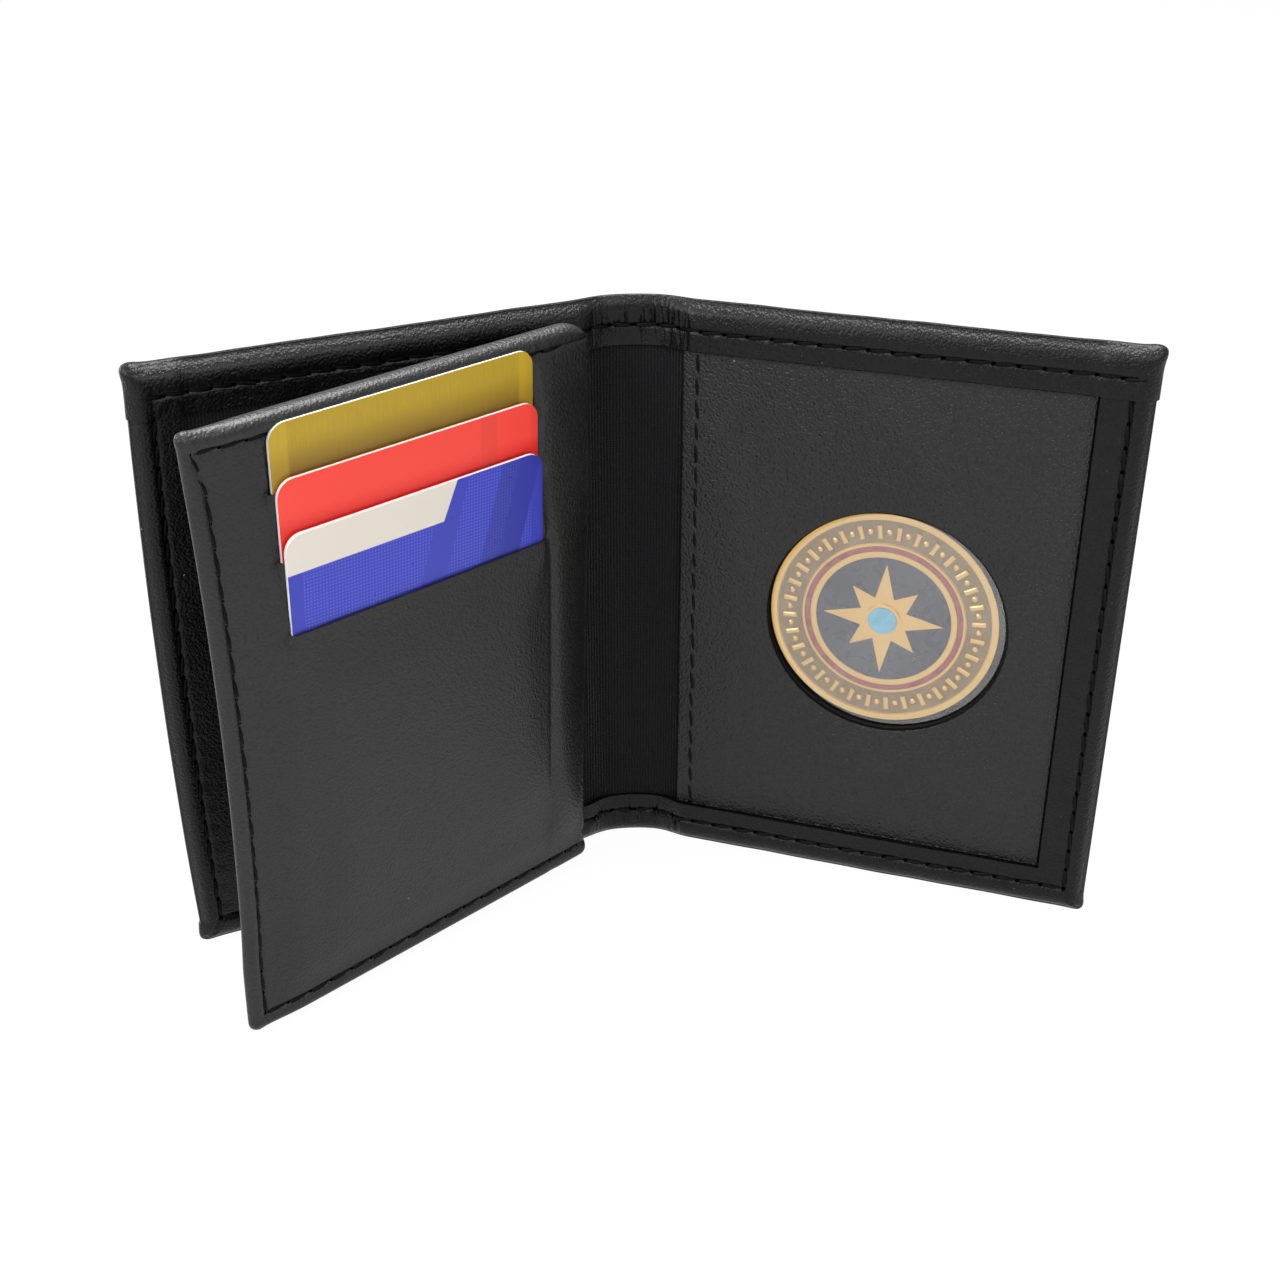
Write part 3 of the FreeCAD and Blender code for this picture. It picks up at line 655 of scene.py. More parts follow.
def gathers(arc, up, top):
    """Depth of the many small creases where the hem is gathered at the spine."""
    rng = random.Random(41 if top else 73)
    depth = np.zeros_like(arc)
    place = -9.6
    while place < 10.6:
        place += rng.uniform(0.35, 0.85)
        lean = rng.uniform(-0.10, 0.10)
        strong = rng.uniform(0.10, 0.36) * (1.6 if place > 2 else 1.1)
        reach = hump(up, rng.uniform(3.4, 5.8), rng.uniform(1.6, 3.4))
        depth += strong * hump(arc, place + lean * (up - 5), rng.uniform(0.20, 0.32)) * reach
    return depth - 0.06


def rolled(edge):
    """Round roll between an edge and its seam; the distance is a share of the seam's inset."""
    return np.clip(1 - ((edge - 0.5) / 0.51) ** 2, 0, 1)


def shape_cover(flat, fold):
    """Moves the flat cover's corners: thin spine, gathered hems, sunk seams, round edges, lapped corners."""
    along, out, up = flat.T.copy()
    width, height, face, hem = mm("cover_width"), mm("cover_height"), mm("outer_face"), mm("hem_face")
    inset, hem_seam = mm("seam_inset"), mm("hem_seam")
    low, high, free = up, height - up, width - along
    end = np.minimum(low, high)
    inner = np.clip((face - out) / (face + hem), 0, 1)
    facing = ramp(inner, 0.55, 0.95)
    outside = ramp(-inner, -0.45, -0.05)
    # The spine is thinner than the covers
    spine = 1 - ramp(along, -6.0, 2.0)
    moved = face - (face - out) * (1 - (1 - 2 * face / (face + hem)) * spine)

    # Hems gathered at the spine
    arc = fold.side * (along + fold.reach)
    near = 1 - ramp(along, 0.4, 2.6)
    creases = gathers(arc, high, True) * (high < 10.6) + gathers(arc, low, False) * (low < 10.6)
    moved += facing * near * creases

    # Seams pulled into the leather, with a pucker at each stitch
    seam = hump(end, hem_seam, 0.38) * (free > inset - 0.5)
    side = hump(free, inset, 0.38) * (low > hem_seam - 0.5) * (high > mm("hem"))
    moved += facing * 0.36 * np.maximum(seam, side) - outside * 0.2 * np.maximum(seam, side)
    wave = 2 * math.pi / mm("stitch_pitch")
    pucker = np.cos(along * wave) * hump(end, hem_seam + 1.3, 1.0) * ramp(along, 1, 5) * (free > inset)
    pucker += np.cos(up * wave) * hump(free, inset + 1.3, 1.0) * (end > hem_seam)
    moved += facing * 0.11 * pucker

    # Rolls between the edges and their seams
    puff = np.maximum(0.5 * rolled(end / hem_seam), 0.4 * rolled(free / inset)) * (1 - 0.55 * spine)
    drop = 1.5 * (1 - np.clip(end / 4.8, 0, 1)) ** 2 * (1 - 0.6 * spine)
    drop = np.maximum(drop, 1.2 * (1 - np.clip(free / 3.7, 0, 1)) ** 2)
    moved += (drop - puff) * facing + (0.2 * puff - 0.6 * drop) * outside
    # Corners: a mitre at the foot, a lap at the top, tips drawn out
    mitre = hump(free / inset, low / hem_seam, 0.13) * ramp(hem_seam - low, 0, 1.2)
    moved += 0.5 * mitre * facing * (free < inset)
    lap = ramp(high, 9.5, 9.3) * ramp(-free, -9.5, -9.1)
    moved -= 0.45 * lap * facing
    along = along + lap * ramp(-free, -1.6, -0.2) * (0.42 if fold.side > 0 else 0.26)
    tip = hump(free, 0, 2.2) * hump(end, 0, 2.2)
    along = along + tip * np.where(high < low, 0.75, 0.5)
    up = up + tip * np.where(high < low, 0.6, -0.25)

    # Leather that doesn't lie quite flat, edges that aren't quite straight
    ease = 0.16 * np.sin(along * 0.09 + 1.1) * np.sin(up * 0.055 + 0.4)
    ease += 0.05 * np.sin(along * 0.41 + up * 0.23)
    moved += ease * ramp(along, 2, 16)
    lift = 0.05 * np.sin(along * 0.17 + 0.7 * fold.side) + 0.02 * np.sin(along * 0.61)
    lift = lift * (ramp(high, 5, 0) - ramp(low, 5, 0) * 0.4)
    up = up + lift * ramp(along, 1, 9) * ramp(width - along, 0, 6)
    # The left cover has a small step at its foot, and its free edge is drawn in at mid height
    if fold.side < 0:
        along = along + 0.3 * ramp(-low, -4.0, -3.6) * ramp(-free, -1.8, -0.2)
        along = along - (0.8 + 0.9 * ((up - 58) / 50) ** 2) * ramp(along, width - 26, width)
    return np.stack((along, moved, up), 1)


def cover_skin(name, side):
    """Outer leather of one cover with its half of the spine, turned in on its edges."""
    fold = Fold(side)
    width, height, face, hem = mm("cover_width"), mm("cover_height"), mm("outer_face"), mm("hem_face")
    obj = block(name, (-fold.reach, -hem, 0), (width, face, height))
    edit(obj)
    round_edges(obj, 2.1, 6, lambda p: at(p, 0, width) and (at(p, 2, 0) or at(p, 2, height)))
    round_edges(obj, 1.95, 7, lambda p: (at(p, 1, face) or at(p, 1, -hem)) and not at(p, 0, -fold.reach))
    choose(obj, "FACE", lambda p: at(p, 0, -fold.reach))
    bpy.ops.mesh.delete(type="FACE")
    turned, side_turned = mm("hem"), mm("side_hem")
    marks = np.array([0, 0.9, 1.8, 2.7, 3.4, 4.0, 4.5, 4.85, 5.1, 5.3, 5.5, 5.75, 6.1, 6.6, 7.2])
    bent = np.arange(-fold.reach + 0.2, FOLD_END, 0.2)
    plain = np.arange(4.2, width - side_turned - 0.6, 1.12)
    slices(0, np.concatenate((bent, plain, width - side_turned + marks)))
    marks = np.array([2.3, 3.0, 3.7, 4.3, 4.7, 5.0, 5.2, 5.4, 5.6, 5.8, 6.1, 6.6, 7.3, 8.2, 8.6, turned])
    laps = np.array([9.0, 9.1, 9.3, 9.5, 9.6])
    plain = np.arange(turned + 1.2, height - 10.4, 1.12)
    slices(2, np.concatenate((marks, height - marks, height - laps, plain)))
    choose(obj, "FACE", lambda p: at(p, 1, -hem) and p[:, 2].min() > turned - 0.01
           and p[:, 2].max() < height - turned + 0.01 and p[:, 0].max() < width - side_turned + 0.01)
    bpy.ops.mesh.delete(type="FACE")
    if side < 0:
        bpy.ops.mesh.select_all(action="SELECT")
        bpy.ops.mesh.flip_normals()
    clear()
    put_points(obj, fold.place(shape_cover(points_of(obj), fold)))
    thicken(obj, mm("skin"))
    return obj, fold


class WALLET_OT_outer_leather(bpy.types.Operator):
    """Outer leather of both covers and the spine, with turned-in, gathered hems"""

    bl_idname = "wallet.outer_leather"
    bl_label = "Outer leather"

    def execute(self, context):
        grain = leather_finish("cover_leather", 0.46, 0.21, 0.35, 0.45, shine=0.17, painted_glints=0.35, coat=0.11)
        edge = edge_finish()
        for name, side, nodes in (
            ("right_outer_leather", 1, ("right_cover_leather", "spine_leather")),
            ("left_outer_leather", -1, ("left_cover_leather",)),
        ):
            obj, fold = cover_skin(name, side)
            dress(obj, grain, edge)
            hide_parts(*nodes)
            fold.bend(obj)
        return {"FINISHED"}


# Linings and panels


class WALLET_OT_linings(bpy.types.Operator):
    """Ribbed cloth inside the spine and the lining of the left cover"""

    bl_idname = "wallet.linings"
    bl_label = "Linings"

    def execute(self, context):
        cloth = cloth_finish("ribbed_cloth", 0.62)
        height = mm("cover_height")
        for name, side in (("spine_lining_right", 1), ("spine_lining_left", -1)):
            fold = Fold(side)
            clear()
            bpy.ops.mesh.primitive_grid_add(x_subdivisions=46, y_subdivisions=40, size=1)
            obj = named(name)
            co = points_of(obj) * MM
            wide, tall = fold.reach + LINING_TUCK, height - 2 * LINING_UP
            along = (co[:, 0] + 0.5) * wide - fold.reach
            up = LINING_UP + (co[:, 1] + 0.5) * tall
            arc = side * (along + fold.reach)
            out = 0.10 * np.sin(arc * 0.9 + up * 0.05) * np.sin(up * 0.045) * (1 - hump(arc, 0, 2)) - 0.28
            keep_flat(obj, np.stack((arc, out, up), 1))
            put_points(obj, fold.place(np.stack((along, out, up), 1)))
            edit_all(obj)
            if side < 0:
                bpy.ops.mesh.flip_normals()
            clear()
            modify(obj, "SOLIDIFY", thickness=0.35 * MM, offset=1)
            outward(obj)
            smooth(obj, 50)
            dress(obj, cloth)
            if side > 0:
                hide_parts("spine_lining")
            fold.bend(obj)
            wide * MM
            tall * MM

        obj = block(
            "left_lining", (1.65, INNER_BACK, INNER_INSET), (INNER_EDGE, INNER_FRONT, height - INNER_INSET)
        )
        edit(obj)
        round_edges(obj, 0.3, 3, lambda p: at(p, 1, INNER_FRONT))
        slices(0, np.arange(3, 81, 2.4))
        slices(2, np.arange(5, height - 4, 2.4))
        clear()
        flat = points_of(obj)
        keep_flat(obj, flat)
        flat[:, 1] += 0.10 * np.sin(flat[:, 0] * 0.13 + 0.5) * np.sin(flat[:, 2] * 0.08) * (flat[:, 1] > 1.3)
        settle(obj, left_frame(), flat)
        # Painted light: the same black cloth, 1.8 times lighter here because this lining lies in the leaf's
        # shade.
        dress(obj, cloth_finish("cover_cloth", 0.62, 1.8))
        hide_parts("left_cover_lining")
        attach(obj, "left_cover")
        return {"FINISHED"}


class WALLET_OT_badge_panel(bpy.types.Operator):
    """Inner leather panel of the right cover, with the round cut-out"""

    bl_idname = "wallet.badge_panel"
    bl_label = "Badge panel"

    def execute(self, context):
        height, fold = mm("cover_height"), Fold(1)
        edge, front, back = -0.35, -INNER_FRONT, -INNER_BACK
        obj = block(
            "badge_panel_leather", (edge, front, INNER_INSET), (INNER_EDGE, back, height - INNER_INSET)
        )
        edit(obj)
        slices(0, np.arange(edge + 0.5, 3.0, 0.5))
        clear()
        bpy.ops.mesh.primitive_cylinder_add(
            vertices=128, radius=mm("cut_out") / 2 * MM, depth=8 * MM,
            location=(mm("badge_out") * MM, (front + back) / 2 * MM, mm("badge_up") * MM),
            rotation=(math.pi / 2, 0, 0),
        )
        cutter = named("cutter")
        modify(obj, "BOOLEAN", operation="DIFFERENCE", object=cutter, solver="EXACT")
        bpy.data.objects.remove(cutter)
        edit(obj)
        reach = mm("cut_out") / 2

        def on_rim(p):
            """True for edges on the front rim of the cut-out."""
            gap = np.hypot(p[:, 0] - mm("badge_out"), p[:, 2] - mm("badge_up"))
            return at(p, 1, front) and bool(np.all(np.abs(gap - reach) < 0.05))

        round_edges(obj, 0.3, 3, lambda p: on_rim(p) or (at(p, 1, front) and at(p, 0, edge)))
        gap = np.array([-0.5, -0.3, -0.15, 0, 0.2])
        side = mm("cover_width") - mm("side_hem") - 0.2
        low, high = mm("hem") + 0.2, height - mm("hem") - 0.2
        slices(0, side + gap)
        slices(2, np.concatenate((low - gap, high + gap)))
        outward(obj)
        dress(obj, leather_finish("panel_leather", 0.48, 0.27, 0.40, 1.05, shine=0.40), edge_finish())
        co = points_of(obj)
        x, y, z = co.T
        for face in obj.data.polygons:
            if np.ptp(y[list(face.vertices)]) > 0.5:
                face.material_index = 1
        pressed = np.maximum(hump(x, side, 0.17), np.maximum(hump(z, low, 0.17), hump(z, high, 0.17)))
        co[:, 1] += 0.42 * pressed * (y < front + 0.01)
        put_points(obj, fold.place(co))
        smooth(obj, 42)
        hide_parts("badge_panel")
        fold.bend(obj)
        return {"FINISHED"}


# Leaf


def leaf_lines():
    """Heights of the three slits on the leaf."""
    return [POCKET_FOOT + s * math.cos(POCKET_TILT) for s in SLITS]


def leaf_front(x, z, above):
    """Front of the leaf over its cards; above tells the upper lip of a slit from the lower one."""
    top, reach = mm("leaf_height"), mm("leaf_reach")
    left, right = POCKET_LEFT, POCKET_RIGHT
    rest = LEAF_FRONT - 0.6 * ramp(x, left, reach - 2)
    # Leather over the cards: one lip below each slit
    lines = leaf_lines()
    level = np.full_like(x, LIPS[0])
    for line, lip in zip(lines, LIPS[1:]):
        level = np.where((z < line - 0.01) | ((np.abs(z - line) <= 0.01) & ~above), lip, level)
    rise = (z - POCKET_FOOT) / math.cos(POCKET_TILT)
    plane = POCKET_BACK + level * math.cos(POCKET_TILT) + rise * math.sin(POCKET_TILT)
    plane = rest + (plane - rest) * np.where(level > 4, ramp(z, 3.4, 10.5), 1)
    # Depth beside the cards, smoothed along the height
    one, two, three = lines
    heights = (0, 4, 10, three - 14, three - 3, three, three + 5, two, two + 5, one, one + 4, top)
    depths = (2.2, 2.2, 2.95, 4.55, 4.75, 4.3, 3.72, 3.3, 2.92, 2.5, 2.25, 2.2)
    table_z = np.linspace(0, top, 460)
    table_y = np.interp(table_z, heights, depths)
    table_y = np.convolve(np.pad(table_y, 8, mode="edge"), np.ones(17) / 17, "valid")
    edge = np.interp(z, table_z, table_y)
    # Front over the cards, swelling over the lowest one
    below = np.clip((three - z) / 14, 0, 1)
    inside = np.minimum(x - right, left - x)
    body = edge + (plane - edge) * ramp(inside, 0, 0.78 + 5.0 * below * below)
    valley = ramp(z, 13, 29) * (1 - ramp(z, three - 1, three + 8))
    swell = ramp(three - z, 1, 14) * ramp(z, 8, 26)
    body += 0.75 * swell * (1 - (1 - np.clip((x - right) / 10, 0, 1)) ** 2) * (1 - ramp(x, left - 9, left))
    # Borders that fall away to the inner and the free edge
    end = np.minimum(z, top - z)
    ridge = np.maximum(edge, 3.4)
    border = ridge - (ridge - 1.6) * (np.clip(9.6 - x, 0, 10.1) / 10.1) ** 1.6
    border = rest + (border - rest) * ramp(end, 2, 12)
    body = np.where(x > 44, rest + (body - rest) * (1 - ramp(x, left - 0.5, left + 9.5)),
                    border + (body - border) * (1 - np.clip((right + 0.5 - x) / 1.4, 0, 1) ** 2))
    # Crease beside the cards, pinches at the ends of the slits, leather that doesn't lie quite flat
    crease = right - 0.9
    body -= (0.1 + 0.3 * valley) * hump(x, crease, np.where(x > crease, 0.5, 1.8))
    for line in lines:
        for stop in (left + 0.3, right - 0.3):
            body -= 0.45 * np.exp(-(((x - stop) / 0.9) ** 2) - ((z - line) / 0.9) ** 2)
    body += 0.10 * np.sin(x * 0.11 + 0.6) * np.sin(z * 0.06) * ramp(inside, 2, 14) * (level > 4)
    # Seams pulled in, rolled edges beyond them
    inset, side_inset = mm("leaf_seam"), mm("leaf_side_seam")
    seam = hump(end, inset, 0.42) * (x < reach - side_inset + 0.4)
    veer = VEER * np.clip((z - top + VEER_UP) / (VEER_UP - inset), 0, 1)
    side = hump(x, reach - side_inset + veer, 0.42) * (end > inset - 0.4)
    roll = np.maximum(rolled(end / inset), 0.8 * rolled((reach + veer - x) / side_inset))
    return body - 0.28 * np.maximum(seam, side) + 0.42 * roll


def leaf_form(flat):
    """Moves the flat leaf: free edge thin and drawn in at mid height, inner roll leaning, foot sloping."""
    x, y, z = np.asarray(flat, float).T
    reach = mm("leaf_reach")
    bow = np.clip(-1.0 + 1.5 * ((z - 62) / 50) ** 2, -1.0, 0.4)
    lean = 2.6 - 3.4 * np.clip(z / 83, 0, 1)
    across = x + bow * ramp(x, 52, reach) + lean * (1 - ramp(x, LEAF_INNER, 8.0))
    depth = y + 0.6 * ramp(x, POCKET_LEFT, reach - 1) * (1 - ramp(y, -1.2, 1.0))
    up = z - (1.6 * x / reach - 0.5) * (1 - ramp(z, 4, 40))
    across = across + 0.5 * ramp(x, 60, reach) * (1 - ramp(z, 0, 25))
    across = across + 0.8 * hump(z, 5.4, 0.9) * (1 - ramp(x, LEAF_INNER, 2.0))
    tip = hump(x, reach, 2.0) * hump(z, mm("leaf_height"), 2.0)
    across, up = across + 0.6 * tip, up + 0.5 * tip
    return np.stack((across, depth, up), 1)


def leaf_skin():
    """Front leather of the leaf: rolled edges, three slits, formed over the cards."""
    reach, height = mm("leaf_reach"), mm("leaf_height")
    left, right = POCKET_LEFT, POCKET_RIGHT
    obj = block("leaf_leather", (LEAF_INNER, LEAF_TURNED, 0), (reach, LEAF_FRONT, height))
    edit(obj)
    round_edges(obj, 1.9, 6, lambda p: at(p, 0, reach) and (at(p, 2, 0) or at(p, 2, height)))
    round_edges(obj, 6.5, 10, lambda p: at(p, 0, LEAF_INNER) and at(p, 2, height))
    round_edges(obj, 2.2, 6, lambda p: at(p, 0, LEAF_INNER) and at(p, 2, 0))
    round_edges(obj, 1.7, 7, lambda p: at(p, 1, LEAF_FRONT) or at(p, 1, LEAF_TURNED))
    lines = leaf_lines()
    fine = np.array([0, 0.2, 0.4, 0.6, 0.8, 1.2])
    marks = np.array([6.6, 5.6, 4.6, 4.1, 3.7, 3.4, 3.2, 3.0, 2.8, 2.6, 2.3])
    border = np.concatenate((np.arange(-0.2, right - 0.5, 0.3), [right - 0.25], right + fine))
    middle = np.concatenate((np.arange(right + 2.5, left - 1.5, 1.3), left - fine))
    slices(0, np.concatenate((border, middle, np.arange(left + 0.4, reach - 7, 0.8), reach - marks)))
    marks = np.array([2.1, 2.6, 2.95, 3.2, 3.4, 3.6, 3.85, 4.2, 4.8, 5.6, 6.6, 7.8, 9.0])
    slices(2, np.concatenate((marks, height - marks[:10], np.arange(10.4, lines[2] - 3, 1.4))))
    for line in lines:
        slices(2, line + np.array([-2.2, -1.5, -1.0, -0.6, -0.3, 0, 0.3, 0.6, 1.0, 1.5, 2.2, 3.2]))
    for lower, higher in ((lines[2], lines[1]), (lines[1], lines[0])):
        slices(2, np.arange(lower + 4.4, higher - 2.5, 1.4))
    choose(obj, "EDGE", lambda p: at(p, 1, LEAF_FRONT) and any(at(p, 2, line) for line in lines)
           and p[:, 0].min() > right - 0.01 and p[:, 0].max() < left + 0.01)
    bpy.ops.mesh.edge_split(type="EDGE")
    clear()
    flat = points_of(obj)
    upper = np.zeros(len(flat))
    count = np.zeros(len(flat))
    for face in obj.data.polygons:
        ids = list(face.vertices)
        upper[ids] += flat[ids, 2].mean()
        count[ids] += 1
    above = upper / count > flat[:, 2]
    x, y, z = flat.T
    front = ramp(y, 0.3, 2.19)
    formed = y + (leaf_front(x, z, above) - LEAF_FRONT) * front
    group = obj.vertex_groups.new(name="thick")
    below = z <= lines[2] + 0.02
    for index in range(len(flat)):
        thick = below[index] and not (abs(z[index] - lines[2]) < 0.02 and above[index])
        group.add([index], 1.0 if thick else 0.55, "REPLACE")
    put_points(obj, through(leaf_frame(), leaf_form(np.stack((x, formed, z), 1))))
    thicken(obj, 0.7, vertex_group="thick", thickness_vertex_group=0.0)
    return obj


class WALLET_OT_leaf(bpy.types.Operator):
    """Leaf with its slit pockets, its back and the strip that it turns on"""

    bl_idname = "wallet.leaf"
    bl_label = "Leaf"

    def execute(self, context):
        grain = leather_finish("leaf_leather", 0.48, 0.15, 0.42, 0.97, shine=0.40, coat=0.15)
        edge = edge_finish()
        obj = leaf_skin()
        dress(obj, grain, edge)
        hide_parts("leaf_front_leather")
        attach(obj, "leaf")

        reach, height, inset = mm("leaf_reach"), mm("leaf_height"), 1.6
        back = block("leaf_back", (2.5, LEAF_REAR, inset), (reach - inset, LEAF_TURNED, height - inset))
        edit(back)
        round_edges(back, 2.2, 5, lambda p: np.ptp(p[:, 1]) > 0.5)
        round_edges(back, 0.45, 3, lambda p: at(p, 1, LEAF_REAR))
        slices(0, np.arange(6, reach - 3, 3.0))
        slices(2, np.arange(5, height - 3, 4.0))
        clear()
        settle(back, leaf_frame(), leaf_form(points_of(back)))
        dress(back, grain)
        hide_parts("leaf_back_panel")
        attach(back, "leaf")

        face, inner, outer, inset, web = 2.55, 1.95, 13.0, 9.4, (3.0, 4.76)
        strip = block(
            "leaf_hinge_leather", (inner, INNER_FRONT, inset), (outer, face, mm("cover_height") - inset)
        )
        edit(strip)
        slices(0, web)
        choose(strip, "FACE", lambda p: at(p, 1, face)
               and p[:, 0].min() > web[0] - 0.1 and p[:, 0].max() < web[1] + 0.1)
        bpy.ops.mesh.extrude_region_move(TRANSFORM_OT_translate={"value": (0, 0.64 * MM, 0)})
        round_edges(strip, 0.4, 4, lambda p: at(p, 1, face) and (at(p, 0, web[0]) or at(p, 0, web[1])))
        round_edges(strip, 0.3, 2, lambda p: at(p, 1, face) and (at(p, 0, inner) or at(p, 0, outer)))
        clear()
        settle(strip, left_frame(), points_of(strip))
        dress(strip, grain)
        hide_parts("leaf_hinge_strip")
        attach(strip, "left_cover")
        return {"FINISHED"}


# Stitches


def sewn(name, made):
    """All the stitches of a seam as one piece."""
    obj = joined(name, made)
    outward(obj)
    smooth(obj, 70)
    return obj


class Seams:
    """Rows of stitches, set out flat and then taken to their place; one stitch and one black spot of painted
    shade for a needle hole are copied.
    """

    def __init__(self, seed):
        self.stitch, self.hole = ball("stitch", 8, 6, 0.5, (0, math.pi / 2, 0)), ball("hole", 8, 4, 0.5)
        self.stitch_shape, self.hole_shape = points_of(self.stitch), points_of(self.hole)
        self.rng = random.Random(seed)
        dress(self.stitch, thread_finish())
        dress(self.hole, hole_shade_finish())

    def row(self, start, end, normal, take, sink=0.0, slant=0.09):
        """Stitches from start to end on a face with that normal; take brings flat points to their place."""
        start, end, normal = (np.array(v, float) for v in (start, end, normal))
        run = end - start
        total = np.linalg.norm(run)
        run /= total
        across = np.cross(normal, run)
        count = max(1, round(total / mm("stitch_pitch")))
        pitch = total / count
        thick = mm("thread")
        made = []
        for index in range(count):
            middle = start + run * (index + 0.5) * pitch + normal * (sink + self.rng.uniform(-0.03, 0.03))
            middle = middle + across * self.rng.uniform(-0.06, 0.06)
            lean = slant + self.rng.uniform(-0.035, 0.035)
            long = mm("stitch_length") * pitch / mm("stitch_pitch") * self.rng.uniform(0.95, 1.04)
            shape = self.stitch_shape.copy()
            stretch = np.sign(shape[:, 0]) * (long - thick) / 2 * (np.abs(shape[:, 0]) > 0.05)
            x = shape[:, 0] * thick + stretch
            y = shape[:, 1] * thick + lean * x
            z = shape[:, 2] * thick * 0.8 - 0.2 * (x / long * 2) ** 2
            flat = middle + np.outer(x, run) + np.outer(y, across) + np.outer(z, normal)
            made.append(copy_of(self.stitch, take(flat)))
            # A flat black spot of painted shade sits in each needle hole.
            spot = start + run * index * pitch + normal * (sink - 0.12)
            x, y, z = (self.hole_shape * np.array((1.15, 0.85, 0.34))).T
            flat = spot + np.outer(x, run) + np.outer(y, across) + np.outer(z, normal)
            made.append(copy_of(self.hole, take(flat)))
        return made

    def done(self):
        """Removes the stitch and the spot of painted hole shade that were copied."""
        bpy.data.objects.remove(self.stitch)
        bpy.data.objects.remove(self.hole)


class WALLET_OT_stitches(bpy.types.Operator):
    """All seams, stitch by stitch, with black spots of painted shade at their needle holes"""

    bl_idname = "wallet.stitches"
    bl_label = "Stitches"

    def execute(self, context):
        seams = Seams(7)
        height, free, hem_seam = mm("cover_height"), mm("cover_width") - mm("seam_inset"), mm("hem_seam")
        face, hem = mm("outer_face"), mm("hem_face")
        middle = (face - hem) / 2
        for name, side, nodes in (
            ("right_hem_stitches", 1, ("right_cover_seam", "spine_seams")),
            ("left_hem_stitches", -1, ("left_cover_seam",)),
        ):
            fold = Fold(side)

            def take(flat):
                """Stitches laid on the shaped cover, inside or outside."""
                out = flat[:, 1]
                base = flat.copy()
                base[:, 1] = np.where(out < middle, -hem, face)
                shaped = shape_cover(base, fold)
                shaped[:, 1] += np.where(out < middle, out + hem, out - face)
                return fold.place(shaped)

            made = []
            start, top = -fold.reach + 0.3, height - hem_seam
            for out, way in ((-hem, -1), (face, 1)):
                for x, z, x_end, z_end in (
                    (start, hem_seam, free, hem_seam),
                    (free, hem_seam, free, height - mm("hem")),
                    (start, top, free + 2.4, top),
                ):
                    made += seams.row((x, out, z), (x_end, out, z_end), (0, way, 0), take, 0.1)
            obj = sewn(name, made)
            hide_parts(*nodes)
            fold.bend(obj)

        fold = Fold(1)
        along, out, up = 2.45, -INNER_FRONT, 9.6
        made = seams.row((along, out, up), (along, out, height - up), (0, -1, 0), fold.place, sink=-0.05)
        obj = sewn("panel_stitches", made)
        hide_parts("badge_panel_seam")
        fold.bend(obj)

        place, reach, tall, up = leaf_frame(), mm("leaf_reach"), mm("leaf_height"), mm("leaf_seam")

        def on_front(flat):
            """Stitches laid on the front of the leaf."""
            x, y, z = flat.T
            return through(place, leaf_form(np.stack((x, leaf_front(x, z, z > 0) + y - LEAF_FRONT, z), 1)))

        def on_back(flat):
            """Stitches laid on the back of the leaf."""
            return through(place, leaf_form(flat))

        made = []
        side = reach - mm("leaf_side_seam")
        turns = [(1.5, up), (side, up), (side, tall - VEER_UP), (side + VEER, tall - up), (4.5, tall - up)]
        for out, way, take, sink in ((LEAF_FRONT, 1, on_front, 0.0), (LEAF_REAR, -1, on_back, 0.05)):
            for (x, z), (x_end, z_end) in zip(turns, turns[1:]):
                made += seams.row((x, out, z), (x_end, out, z_end), (0, way, 0), take, sink)
        obj = sewn("leaf_stitches", made)
        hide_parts("leaf_seam")
        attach(obj, "leaf")
        seams.done()
        return {"FINISHED"}


# Medallion


def brass_finish():
    """Antique brass: rubbed bright on top, brown in the hollows."""
    f = Finish("antique_brass", Metallic=1.0)
    at = f.place()
    specks = f.noise(at, 0.5, 3, 0.6)
    cloud = f.noise(at, 6, 3)
    hollow = f.step(f.add("ShaderNodeNewGeometry", out="Pointiness"), 0.44, 0.53)
    worn = f.step(hollow * 0.75 + specks * 0.25 + (cloud - 0.5) * 0.5, 0.2, 0.85)
    f.feed("Base Color", f.mix(worn, paint("patina"), paint("brass")))
    f.feed("Roughness", 0.46 - worn * 0.12 + specks * 0.14)
    f.relief(specks, 0.03)
    return f.material


def enamel_finish(name, shade):
    """Hard enamel: even colour, glossy, with tiny pits and a paler bloom."""
    f = Finish(name, Specular_IOR_Level=0.5)
    at = f.place()
    cloud = f.noise(at, 3, 2)
    f.feed("Base Color", f.mix(cloud, paint(shade, 0.8), paint(shade, 1.25)))
    f.feed("Roughness", 0.22 + cloud * 0.12)
    f.relief(f.noise(at, 0.8, 2), 0.02)
    return f.material


def lens_finish():
    """Clear plastic cover under a faint white veil, partly haze and partly painted sheen."""
    f = Finish("clear_cover", Roughness=0.16, Specular_IOR_Level=0.5)
    at = f.place()
    haze_and_sheen = f.noise(at, 14, 2)
    f.feed("Base Color", (0.80, 0.80, 0.80, 1))
    # The white veil of uneven strength is partly haze and partly a painted sheen.
    f.feed("Alpha", 0.055 + haze_and_sheen * 0.06)
    f.relief(f.noise(at, 5, 2), 0.02)
    return f.material


def disc(name, radius, vertices=96):
    """A flat round face."""
    clear()
    bpy.ops.mesh.primitive_circle_add(vertices=vertices, radius=radius * MM, fill_type="NGON")
    return named(name)


def raise_face(height):
    """Extrudes the selected face up or down, in millimetres."""
    bpy.ops.mesh.extrude_region_move(TRANSFORM_OT_translate={"value": (0, 0, height * MM)})


def step_in(width):
    """Insets the selected face, in millimetres."""
    bpy.ops.mesh.inset(thickness=width * MM, depth=0, use_even_offset=True)


